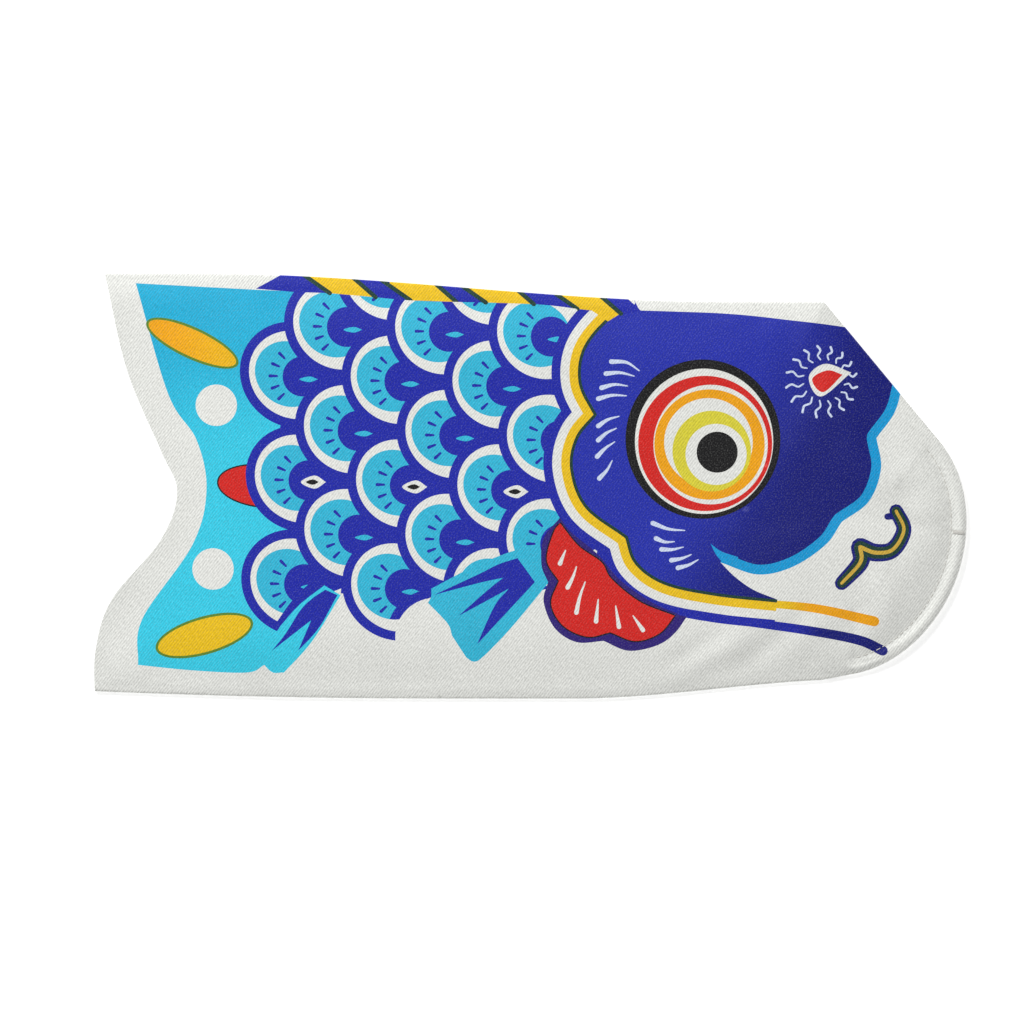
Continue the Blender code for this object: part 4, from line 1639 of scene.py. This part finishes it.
@dataclass(frozen=True)
class Twill:
    """The weave of the cloth: ribs that slant to the right, of uneven yarns.

    Args:
        pitch: Distance between ribs.
        slant: The ribs' direction, in degrees.
        height: Height of a rib.
    """

    pitch: float = 1.12
    slant: float = 52.0
    height: float = 0.05

    def ribs(self, shader: Shader, flat: Any) -> Value:
        """Height of the ribs, 0 to 1.

        Args:
            shader: The shader to build in.
            flat: The flat coordinates.

        Returns:
            The height.
        """
        u, v = shader.parts(flat)
        turn = math.radians(self.slant)
        wobble = (shader.grain(flat, 0.16) - 0.5) * 2.6
        phase = (u * -math.sin(turn) + v * math.cos(turn)) * (math.tau / self.pitch) + wobble
        return phase.sine() * 0.5 + 0.5

    def yarns(self, shader: Shader, flat: Any) -> Value:
        """Unevenness of the yarns, 0 to 1."""
        along = shader.grain(shader.stretched(flat, math.radians(self.slant), 1.6, 0.7), 1.0, 2.0, 0.7)
        across = shader.grain(shader.stretched(flat, 0.0, 0.8, 1.3), 1.1, 2.0, 0.6)
        return along * 0.65 + across * 0.35


@dataclass(frozen=True)
class PrintedCloth:
    """Satin twill with ink printed into its face.

    Args:
        weave: The cloth's twill.
        roughness: Roughness between the ribs.
        speckle: How much white shows through the ink in specks: partly white yarn, partly painted satin
            glints.
        reverse: How much of the cloth's own white covers the ink; 0 is the printed face.
    """

    weave: Twill = Twill()
    roughness: float = 0.42
    speckle: float = 0.09
    reverse: float = 0.0

    def make(self, name: str) -> bpy.types.Material:
        """Make the material.

        Args:
            name: The material's name.

        Returns:
            The finished material.
        """
        shader = Shader(name)
        flat = shader.flat()
        ribs, yarns = self.weave.ribs(shader, flat), self.weave.yarns(shader, flat)
        cloth = (*linear_colour(Ink.CLOTH.value), 1.0)
        ink = shader.mix(self.reverse, shader.ink(), cloth)
        # White specks over the ink: partly undyed yarn showing through, partly painted satin glints.
        specks = shader.grain(flat, 1.5, 3.0, 0.75).step(0.50, 0.72)
        speckled = shader.mix(specks * self.speckle, ink, cloth)
        cloudy = shader.grain(flat, 0.05, 3.0, 0.6)
        tone = 1.0 + (ribs - 0.5) * 0.24 + (yarns - 0.5) * 0.85 + (cloudy - 0.5) * 0.10
        height = ribs * 0.75 + yarns * 0.45
        return shader.finish({
            "Base Color": shader.scaled(speckled, tone),
            "Roughness": self.roughness + yarns * 0.16 - ribs * 0.08,
            "Specular IOR Level": 0.22,
            "Sheen Weight": 0.02,
            "Sheen Roughness": 0.35,
            "Normal": shader.bump(height, self.weave.height),
        })


@dataclass(frozen=True)
class PlainCloth:
    """Undyed twill of the hem and the seams.

    Args:
        colour: Its screen colour.
        weave: Its twill.
    """

    colour: tuple[int, int, int]
    weave: Twill = Twill(pitch=1.0)

    def make(self, name: str) -> bpy.types.Material:
        """Make the material.

        Args:
            name: The material's name.

        Returns:
            The finished material.
        """
        shader = Shader(name)
        flat = shader.flat()
        ribs, yarns = self.weave.ribs(shader, flat), self.weave.yarns(shader, flat)
        cloth = (*linear_colour(self.colour), 1.0)
        tone = 0.84 + ribs * 0.10 + yarns * 0.20
        return shader.finish({
            "Base Color": shader.scaled(cloth, tone),
            "Roughness": 0.62 + yarns * 0.15,
            "Sheen Weight": 0.15,
            "Normal": shader.bump(ribs * 0.7 + yarns * 0.5, self.weave.height),
        })


@dataclass(frozen=True)
class Thread:
    """Two-ply sewing thread with a visible twist.

    Args:
        colour: Its screen colour.
        twist: Length of one turn of its plies.
    """

    colour: tuple[int, int, int] = (242, 240, 234)
    twist: float = 0.55

    def make(self, name: str) -> bpy.types.Material:
        """Make the material.

        Args:
            name: The material's name.

        Returns:
            The finished material.
        """
        shader = Shader(name)
        flat = shader.flat()
        u, v = shader.parts(flat)
        plies = (u * (math.tau / self.twist) + v * (math.tau / 0.5)).sine() * 0.5 + 0.5
        fluff = shader.grain(flat, 3.0, 2.0, 0.6)
        cloth = (*linear_colour(self.colour), 1.0)
        return shader.finish({
            "Base Color": shader.scaled(cloth, 0.74 + plies * 0.16 + fluff * 0.14),
            "Roughness": 0.5 + fluff * 0.2,
            "Sheen Weight": 0.2,
            "Normal": shader.bump(plies + fluff * 0.4, 0.05),
        })


@dataclass(frozen=True)
class Plastic:
    """Drawn plastic with fine lines along it.

    Args:
        colour: Its screen colour.
        clarity: How clear it is.
        roughness: Its roughness.
    """

    colour: tuple[int, int, int]
    clarity: float
    roughness: float

    def make(self, name: str) -> bpy.types.Material:
        """Make the material.

        Args:
            name: The material's name.

        Returns:
            The finished material.
        """
        shader = Shader(name)
        flat = shader.flat()
        lines = shader.grain(shader.stretched(flat, 0.0, 12.0, 0.35), 1.2, 3.0, 0.6)
        scuffs = shader.grain(flat, 0.5, 4.0, 0.65).step(0.52, 0.75)
        plastic = (*linear_colour(self.colour), 1.0)
        return shader.finish({
            "Base Color": shader.scaled(plastic, 0.93 + lines * 0.1),
            "Roughness": self.roughness + scuffs * 0.2 + lines * 0.08,
            "Transmission Weight": self.clarity,
            "Subsurface Weight": 0.15,
            "Subsurface Scale": 0.001,
            "IOR": 1.5,
            "Normal": shader.bump(lines * 0.6 + scuffs * 0.4, 0.02),
        })


@dataclass(frozen=True)
class Paper:
    """The pale paper of the studio floor.

    Args:
        glow: How much light the paper gives of its own.
    """

    glow: float = 0.42

    def make(self, name: str) -> bpy.types.Material:
        """Make the material.

        Args:
            name: The material's name.

        Returns:
            The finished material.
        """
        shader = Shader(name)
        where = shader.node("ShaderNodeTexCoord", {}, {}).outputs["Object"]
        tooth = shader.grain(where, 900.0, 3.0, 0.6)
        return shader.finish({
            "Base Color": shader.scaled((0.97, 0.97, 0.97, 1.0), 0.985 + tooth * 0.03),
            "Roughness": 0.9,
            "Specular IOR Level": 0.1,
            "Emission Color": (1.0, 1.0, 1.0, 1.0),
            "Emission Strength": self.glow,
            "Normal": shader.bump(tooth, 0.02),
        })


class Finish(Enum):
    """The finishes, each with the record's slot and its maker."""

    PRINT = ("printed_cloth", PrintedCloth())
    REVERSE = ("printed_cloth", PrintedCloth(speckle=0.1, reverse=0.62, roughness=0.62))
    HEM = ("hem_cloth", PlainCloth((236, 236, 231)))
    SEAM = ("sewn_seam", PlainCloth((230, 230, 226)))
    THREAD = ("sewing_thread", Thread())
    HOOP = ("hoop_plastic", Plastic((226, 228, 226), 0.25, 0.32))
    JOINER = ("joiner_plastic", Plastic((214, 220, 222), 0.55, 0.22))


class Dresser:
    """Gives pieces their finishes, making each finish once."""

    def __init__(self) -> None:
        """Start with no finishes made."""
        self.made: dict[Finish, bpy.types.Material] = {}

    def material(self, finish: Finish) -> bpy.types.Material:
        """The finish's material."""
        if finish not in self.made:
            self.made[finish] = finish.value[1].make(finish.name.lower())
        return self.made[finish]

    def dress(self, piece: bpy.types.Object, *finishes: Finish) -> None:
        """Put finishes on a piece."""
        for finish in finishes:
            piece.data.materials.append(self.material(finish))


@dataclass(frozen=True)
class Section:
    """A length of cloth beside one fold.

    Args:
        name: Its place on the sleeve.
        number: Its number, from the tail.
        bodies: The bodies before and after its fold, the one nearer the head first; not used.
        fold: The fold's number, from the head.
        reach: How far the fold's zone reaches from the fold, towards the head and towards the tail.
        nodes: Which of the frame's lengths it stands for.
    """

    name: str
    number: int
    bodies: tuple[str, str]
    fold: int
    reach: tuple[float, float]
    nodes: tuple[str, ...]

    def bend(self, piece: bpy.types.Object, plan: SleevePlan) -> None:
        """Bake a piece's place into its mesh; the fold zone's ends are worked out, but the piece is not
        bent.
        """
        x = plan.folds[self.fold]
        start = ((x + self.reach[0]) * MM, 0, plan.fold_z * MM)
        end = ((x - self.reach[1]) * MM, 0, plan.fold_z * MM)
        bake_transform(piece)


SECTIONS = (
    Section("rear", 0, ("trunk", "tail"), 2, (11.0, 11.0), ("trunk", "tail")),
    Section("middle", 1, ("shoulder", "trunk"), 1, (11.0, 11.0), ("shoulder",)),
    Section("front", 2, ("head", "shoulder"), 0, (7.0, 13.0), ("head",)),
)


@dataclass
class Sleeve:
    """The two printed cloths of the fish, each in three lengths.

    Args:
        cut: The cloth's triangles.
        shape: The cloths' heights.
        lengths: The finished pieces.
    """

    cut: ClothCut
    shape: ClothShape
    lengths: list[bpy.types.Object] = field(default_factory=list)

    def build(self) -> None:
        """Build the lower cloth's lengths, then the upper cloth's."""
        offset, angle = self.cut.plan.hoop_offset(*self.cut.centres.T)
        open_mouth = offset < self.cut.plan.hem_radius + MOUTH_CLEARANCE
        for side, up, height in (("left", False, self.shape.lower), ("right", True, self.shape.upper)):
            for section in SECTIONS:
                rows = self.cut.section(section.number)
                rows = np.flatnonzero(rows if up else rows & ~open_mouth)
                piece = build_shell(f"{side}_cloth_{section.name}", self.cut, rows, self.shape, height, up)
                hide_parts(*(f"{side}_panel_{node}" for node in section.nodes))
                self.declare(piece, side)
                section.bend(piece, self.cut.plan)
                self.lengths.append(piece)

    def declare(self, piece: bpy.types.Object, side: str) -> None:
        """Work out what lies under a length: the floor, or the left cloth's matching length; the result is
        not used.

        Args:
            piece: The length.
            side: Which side of the fish it is on.
        """
        below = ["floor"] if side == "left" else [piece.name.replace("right", "left")]

    def dress(self, dresser: Dresser) -> None:
        """Print the outer faces; the inner faces show the print's pale reverse."""
        for piece in self.lengths:
            dresser.dress(piece, Finish.PRINT, Finish.REVERSE)


@dataclass
class SideSeams:
    """The sewn allowances inside the back and the belly, overlocked together.

    Args:
        plan: The flat outline.
        inset: Distance of the seam line from the edge.
        width: Width of the allowance.
        ply: Thickness of one ply.
        pitch: Length of one stitch of the overlocking.
        allowances: The finished allowances.
        threads: The finished overlock threads.
    """

    plan: SleevePlan
    inset: float = 0.5
    width: float = 3.2
    ply: float = 0.24
    pitch: float = 2.4
    allowances: list[bpy.types.Object] = field(default_factory=list)
    threads: list[bpy.types.Object] = field(default_factory=list)

    def build(self) -> None:
        """Build both seams, each in the same lengths as the cloth."""
        for edge in ("back", "belly"):
            ends = (self.plan.tail + SEAM_START[edge], *SPLITS, SEAM_END)
            for section in SECTIONS:
                start, end = ends[section.number], ends[section.number + 1]
                allowance = self.allowance(f"{edge}_seam_{section.name}", edge, start, end)
                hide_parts(*(f"{edge}_seam_{node}" for node in section.nodes))
                thread = self.overlock(f"{edge}_overlock_{section.name}", edge, start, end)
                section.bend(allowance, self.plan)
                section.bend(thread, self.plan)
                self.allowances.append(allowance)
                self.threads.append(thread)

    def place(self, edge: str, x: float, inward: float) -> float:
        """Height in the plan of a point that far inwards from an edge."""
        if edge == "back":
            return float(self.plan.back_edge(x)) - inward
        return float(self.plan.belly_edge(x)) + inward

    def allowance(self, name: str, edge: str, start: float, end: float) -> bpy.types.Object:
        """The two plies of the allowance, with the soft waves of a sewn edge.

        Args:
            name: The piece's name.
            edge: Back or belly.
            start: Where it begins along the body.
            end: Where it ends.

        Returns:
            The piece.
        """
        count = round((end - start) / 1.5)
        near, far = self.inset, self.inset + self.width
        rings = []
        for x in np.linspace(start, end, count):
            wave = 0.05 * math.sin(x / 2.1) + 0.04 * math.sin(x / 5.3)
            middle = self.plan.fold_z + 0.1 + wave
            top, low = middle + self.ply, middle - self.ply
            section = (
                (near, middle), (near + 0.12, top - 0.05), (near + 0.35, top), (far - 0.3, top + wave),
                (far - 0.06, top - 0.06 + wave), (far - 0.12, middle + wave), (far, low + 0.08 + wave),
                (far - 0.25, low + wave), (near + 0.35, low), (near + 0.12, low + 0.05),
            )
            rings.append([(x, self.place(edge, x, inward), z) for inward, z in section])
        flat = np.array(rings)[:, :, :2]
        return add_piece(name, grid_mesh(name, np.array(rings), flat, False))

    def overlock(self, name: str, edge: str, start: float, end: float) -> bpy.types.Object:
        """The thread that wraps the allowance's raw edge.

        Args:
            name: The piece's name.
            edge: Back or belly.
            start: Where it begins along the body.
            end: Where it ends.

        Returns:
            The piece.
        """
        turns = round((end - start - 2) / self.pitch)
        steps = np.linspace(0, turns * math.tau, turns * 10)
        xs = start + 1 + steps / math.tau * self.pitch
        inward = self.inset + self.width - 0.55 + 0.75 * np.cos(steps)
        heights = self.plan.fold_z + 0.1 + (self.ply + 0.17) * np.sin(steps)
        run = np.array([(x, self.place(edge, x, i), z) for x, i, z in zip(xs, inward, heights)])
        return add_piece(name, thread_mesh(name, [run], 0.11, 5))

    def dress(self, dresser: Dresser) -> None:
        """Dress the plies and their thread."""
        for piece in self.allowances:
            dresser.dress(piece, Finish.SEAM)
        for piece in self.threads:
            dresser.dress(piece, Finish.THREAD)


@dataclass
class MouthHem:
    """The hem that holds the hoop: turned under the upper cloth, and a channel on the lower one.

    Args:
        plan: The flat outline.
        shape: The cloths' heights.
        stitch: Length of one stitch.
        gap: Distance between two stitches.
        thread: Radius of the thread.
        cloths: The finished hems.
        rows: The finished rows of stitches.
    """

    plan: SleevePlan
    shape: ClothShape
    stitch: float = 2.5
    gap: float = 0.7
    thread: float = 0.2
    cloths: list[bpy.types.Object] = field(default_factory=list)
    rows: list[bpy.types.Object] = field(default_factory=list)

    def build(self) -> None:
        """Build the two hems and their rows of stitches."""
        plan, inner = self.plan, -self.shape.stitch_in
        self.cloths = [
            hoop_sweep("hem_cloth_right", plan, 10, 172, self.turned_under),
            hoop_sweep("hem_cloth_left", plan, 190, 345, self.channel),
        ]
        self.rows = [
            self.stitch_row("hem_stitches_right", 22, 153, inner, self.shape.upper),
            self.stitch_row("hem_stitches_left", 205, 335, 5.0, lambda x, y: np.full(len(x), 0.62)),
        ]
        nodes = ("mouth_hem_right", "mouth_hem_left", "hem_stitch_right", "hem_stitch_left")
        for piece, node in zip((*self.cloths, *self.rows), nodes):
            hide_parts(node)
            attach(piece, "head")

    def turned_under(self, angle: float) -> list[Point]:
        """Cross-section of the upper cloth's turned-under edge.

        Args:
            angle: Place on the hoop, in radians.

        Returns:
            The closed cross-section's points.
        """
        radius = self.plan.hem_radius - self.shape.cloth / 2
        ruck = 0.14 * math.sin(38 * angle) * math.sin(9 * angle + 0.7)
        low = self.plan.hem_radius
        arc = [
            (radius * math.cos(math.radians(turn)), low + radius * math.sin(math.radians(turn)))
            for turn in range(-4, -151, -14)
        ]
        inner = self.shape.stitch_in
        rise = self.shape.stitch_z - 1.5 * self.shape.cloth - 0.1
        edge = [(-inner + 1.0, rise - 0.75), (-inner, rise + ruck * 0.4), (-inner - 1.3, rise + 0.1 + ruck)]
        return strip(smooth_run([*arc, *edge], 0.9), self.shape.cloth)

    def channel(self, angle: float) -> list[Point]:
        """Cross-section of the lower cloth's channel, which wraps right round the hoop.

        Args:
            angle: Place on the hoop, in radians.

        Returns:
            The closed cross-section's points.
        """
        radius = self.plan.hem_radius - self.shape.cloth / 2
        low = self.plan.hem_radius
        ruck = 0.1 * math.sin(41 * angle) * math.sin(7 * angle)
        around = [
            (radius * math.cos(math.radians(turn)), low + radius * math.sin(math.radians(turn)))
            for turn in range(-105, -391, -15)
        ]
        start = [(4.5, 0.19), (2.2, 0.17)]
        end = [(3.3, 1.0), (4.2, 0.48), (5.0, 0.47), (6.2, 0.5 + ruck)]
        return strip(smooth_run([*start, *around, *end], 0.9), self.shape.cloth)

    def stitch_row(
        self, name: str, start: float, end: float, offset: float, height: Callable
    ) -> bpy.types.Object:
        """One row of stitches, each lying on the cloth and dipping into it at its ends.

        Args:
            name: The piece's name.
            start: Place of the first stitch on the hoop, in degrees.
            end: Place of the last one.
            offset: Distance of the row outwards from the hoop.
            height: Gives the cloth's height.

        Returns:
            The piece.
        """
        angles = np.radians(np.linspace(start, end, 900))
        line = np.array([self.plan.hoop_point(float(angle), offset) for angle in angles])
        length = np.concatenate(([0], np.cumsum(np.linalg.norm(np.diff(line, axis=0), axis=1))))
        runs = []
        for first in np.arange(0.4, length[-1] - self.stitch, self.stitch + self.gap):
            along = np.linspace(first, first + self.stitch, 9)
            x, y = np.interp(along, length, line[:, 0]), np.interp(along, length, line[:, 1])
            t = np.linspace(-1, 1, 9)
            z = height(x, y) + self.thread * (0.75 - 2.2 * t**6)
            runs.append(np.column_stack((x, y, z)))
        return add_piece(name, thread_mesh(name, runs, self.thread))

    def dress(self, dresser: Dresser) -> None:
        """Dress the hems and the stitches."""
        for piece in self.cloths:
            dresser.dress(piece, Finish.HEM)
        for piece in self.rows:
            dresser.dress(piece, Finish.THREAD)


@dataclass
class StringTacks:
    """Two bar tacks across the hem, where a carrying string ties on.

    Args:
        plan: The flat outline.
        shape: The cloths' heights.
        length: Length of a tack.
        width: Width of a tack.
        angle: Place of the right one, in degrees; the left one is opposite.
        tacks: The finished tacks.
    """

    plan: SleevePlan
    shape: ClothShape
    length: float = 6.0
    width: float = 1.5
    angle: float = 69.0
    tacks: list[bpy.types.Object] = field(default_factory=list)

    def build(self) -> None:
        """Build both tacks."""
        top = 2 * self.plan.hem_radius
        for side, turn, height in (
            ("right", self.angle, self.shape.upper),
            ("left", self.angle + 180, lambda x, y: self.channel_top(x, y, top)),
        ):
            name = f"bar_tack_{side}"
            piece = add_piece(name, self.tack(name, math.radians(turn), height))
            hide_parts(f"string_tack_{side}")
            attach(piece, "head")
            self.tacks.append(piece)

    def channel_top(self, x: np.ndarray, y: np.ndarray, top: float) -> np.ndarray:
        """Height of the lower cloth's channel."""
        offset, _ = self.plan.hoop_offset(x, y)
        return top - np.minimum(np.abs(offset), 2.7) ** 2 / 6.5

    def tack(self, name: str, angle: float, height: Callable) -> bpy.types.Mesh:
        """Three threads across the hem, wrapped close together by a fourth.

        Args:
            name: The mesh's name.
            angle: Place on the hoop, in radians.
            height: Gives the cloth's height.

        Returns:
            The mesh.
        """
        centre = np.array(self.plan.hoop_point(angle, -0.8))
        out = np.array(self.plan.hoop_point(angle, 1.0)) - np.array(self.plan.hoop_point(angle, 0.0))
        side = np.array((-out[1], out[0]))
        runs = []
        for lane in (-0.35, 0.0, 0.35):
            along = np.linspace(-0.5, 0.5, 15) * self.length
            flat = centre + along[:, None] * out + lane * side
            z = height(flat[:, 0], flat[:, 1]) + 0.2 - 0.9 * np.abs(np.linspace(-1, 1, 15)) ** 9
            runs.append(np.column_stack((flat, z)))
        wraps = 17
        turn = np.linspace(0, wraps * math.tau, wraps * 12)
        along = (turn / (wraps * math.tau) - 0.5) * (self.length - 0.7)
        flat = centre + along[:, None] * out + (self.width / 2) * np.sin(turn)[:, None] * side
        z = height(flat[:, 0], flat[:, 1]) + 0.2 + 0.32 * np.cos(turn)
        runs.append(np.column_stack((flat, z)))
        return thread_mesh(name, runs, 0.17)

    def dress(self, dresser: Dresser) -> None:
        """Dress the tacks."""
        for piece in self.tacks:
            dresser.dress(piece, Finish.THREAD)


@dataclass
class Hoop:
    """The sprung plastic hoop, with the sleeve that joins its ends.

    Args:
        plan: The flat outline.
        wire: Radius of the hoop's bar.
        sleeve: Inner and outer radius of the joiner.
        joint: Place of the joiner, in degrees.
        length: Length of the joiner.
        pieces: The finished hoop and joiner.
    """

    plan: SleevePlan
    wire: float = 1.2
    sleeve: tuple[float, float] = (1.5, 2.0)
    joint: float = 232.0
    length: float = 24.0
    pieces: list[bpy.types.Object] = field(default_factory=list)

    def ring(self, radius: float) -> list[Point]:
        """Round cross-section about the hoop's middle line."""
        turns = [math.tau * i / RING_SIDES for i in range(RING_SIDES)]
        return [(radius * math.cos(t), self.plan.hem_radius + radius * math.sin(t)) for t in turns]

    def build(self) -> None:
        """Build the hoop with its butted ends, and the joiner over them."""
        hoop = hoop_sweep(
            "sprung_hoop", self.plan, self.joint + 0.25, self.joint + 359.75, lambda _: self.ring(self.wire)
        )
        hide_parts("mouth_hoop")
        half = math.degrees(self.length / 2 / HOOP_MEAN_RADIUS)
        joiner = hoop_sweep(
            "hoop_sleeve", self.plan, self.joint - half, self.joint + half,
            lambda _: self.ring(self.sleeve[1]), 0.8,
        )
        self.hollow(joiner)
        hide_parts("hoop_joiner")
        self.pieces = [hoop, joiner]
        for piece in self.pieces:
            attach(piece, "head")

    def hollow(self, joiner: bpy.types.Object) -> None:
        """Open the joiner's ends and give it a wall.

        Args:
            joiner: The joiner, closed and solid.
        """
        mesh = joiner.data
        tube = [tuple(face.vertices) for face in mesh.polygons if len(face.vertices) == 4]
        points = [tuple(vertex.co) for vertex in mesh.vertices]
        flat = np.zeros((len(points), 2))
        for loop, uv in zip(mesh.loops, mesh.uv_layers["weave"].data):
            flat[loop.vertex_index] = uv.uv
        count = len(points)
        rings = np.array(points).reshape(-1, RING_SIDES, 3)
        middle = rings.mean(1, keepdims=True)
        inner = middle + (rings - middle) * (self.sleeve[0] / self.sleeve[1])
        faces = tube + [tuple(v + count for v in face[::-1]) for face in tube]
        last = count - RING_SIDES
        for j in range(RING_SIDES):
            k = (j + 1) % RING_SIDES
            faces.append((j, k, k + count, j + count))
            faces.append((last + k, last + j, last + j + count, last + k + count))
        wall = bpy.data.meshes.new("hoop_sleeve")
        wall.from_pydata(points + [tuple(p) for p in inner.reshape(-1, 3)], [], faces)
        finish_mesh(wall, np.vstack((flat, flat)))
        joiner.data = wall

    def dress(self, dresser: Dresser) -> None:
        """Dress the hoop and its joiner."""
        dresser.dress(self.pieces[0], Finish.HOOP)
        dresser.dress(self.pieces[1], Finish.JOINER)


@dataclass
class Studio:
    """A pale floor, soft light from all round, and a camera that looks straight down.

    Args:
        middle: Where the camera looks, in millimetres.
        view: Width of the view, in millimetres.
        distance: Height of the camera, in millimetres.
        reach: Half the floor's width, in metres.
        sky: Strength of the light from all round.
    """

    middle: Point = (-8.5, -11.9)
    view: float = 470.0
    distance: float = 4000.0
    reach: float = 6.0
    sky: float = 0.40

    def build(self) -> None:
        """Build the floor, the lamps, the sky and the camera."""
        mesh = bpy.data.meshes.new("floor")
        reach = self.reach
        mesh.from_pydata([(-reach, -reach, 0), (reach, -reach, 0), (reach, reach, 0), (-reach, reach, 0)],
                         [], [(0, 1, 2, 3)])
        floor = add_piece("floor", mesh)
        floor.location.z = -FLOOR_DROP
        mesh.materials.append(Paper().make("floor"))
        floor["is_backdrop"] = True
        self.lamp("key", (-1.2, 1.7, 2.0), 0.9, 52.0)
        self.lamp("fill", (0.5, -0.6, 1.6), 1.4, 2.0)
        world = bpy.data.worlds.new("studio")
        world.use_nodes = True
        world.node_tree.nodes["Background"].inputs[0].default_value = (1.0, 1.0, 1.0, 1.0)
        world.node_tree.nodes["Background"].inputs[1].default_value = self.sky
        scene = bpy.context.scene
        scene.world = world
        scene.view_settings.view_transform = "Standard"
        self.camera()

    def lamp(self, name: str, place: tuple[float, float, float], size: float, power: float) -> None:
        """Hang a soft square lamp that looks at the middle.

        Args:
            name: The lamp's name.
            place: Where it hangs, in metres.
            size: Its width, in metres.
            power: Its power, in watts.
        """
        light = bpy.data.lights.new(name, "AREA")
        light.size = size
        light.energy = power
        lamp = bpy.data.objects.new(name, light)
        bpy.context.scene.collection.objects.link(lamp)
        lamp.location = place
        aim = Vector((self.middle[0] * MM, self.middle[1] * MM, 0)) - Vector(place)
        lamp.rotation_euler = aim.to_track_quat("-Z", "Y").to_euler()

    def camera(self) -> None:
        """Set up the camera."""
        data = bpy.data.cameras.new("camera")
        data.sensor_width = 36.0
        data.lens = data.sensor_width * self.distance / self.view
        data.clip_end = 20.0
        camera = bpy.data.objects.new("camera", data)
        bpy.context.scene.collection.objects.link(camera)
        camera.location = (self.middle[0] * MM, self.middle[1] * MM, self.distance * MM)
        bpy.context.scene.camera = camera


def main() -> None:
    """Build the carp streamer, dress it and light it."""
    logging.basicConfig(level=logging.INFO, format="%(name)s: %(message)s")
    plan = SleevePlan()
    cut = ClothCut(plan, FishPrint().shapes())
    cut.cut()
    log.info("cut cloth: %d triangles", len(cut.triangles))
    shape = ClothShape(plan)
    shape.lift = Loosening(cut, shape).run()
    dresser = Dresser()
    for part in (
        Sleeve(cut, shape), SideSeams(plan), MouthHem(plan, shape), StringTacks(plan, shape), Hoop(plan),
    ):
        part.build()
        part.dress(dresser)
        log.info("built %s", type(part).__name__)
    Studio().build()
    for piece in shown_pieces():
        log.info("piece %s: %d faces", piece.name, len(piece.data.polygons))


if __name__ == "__main__":
    main()
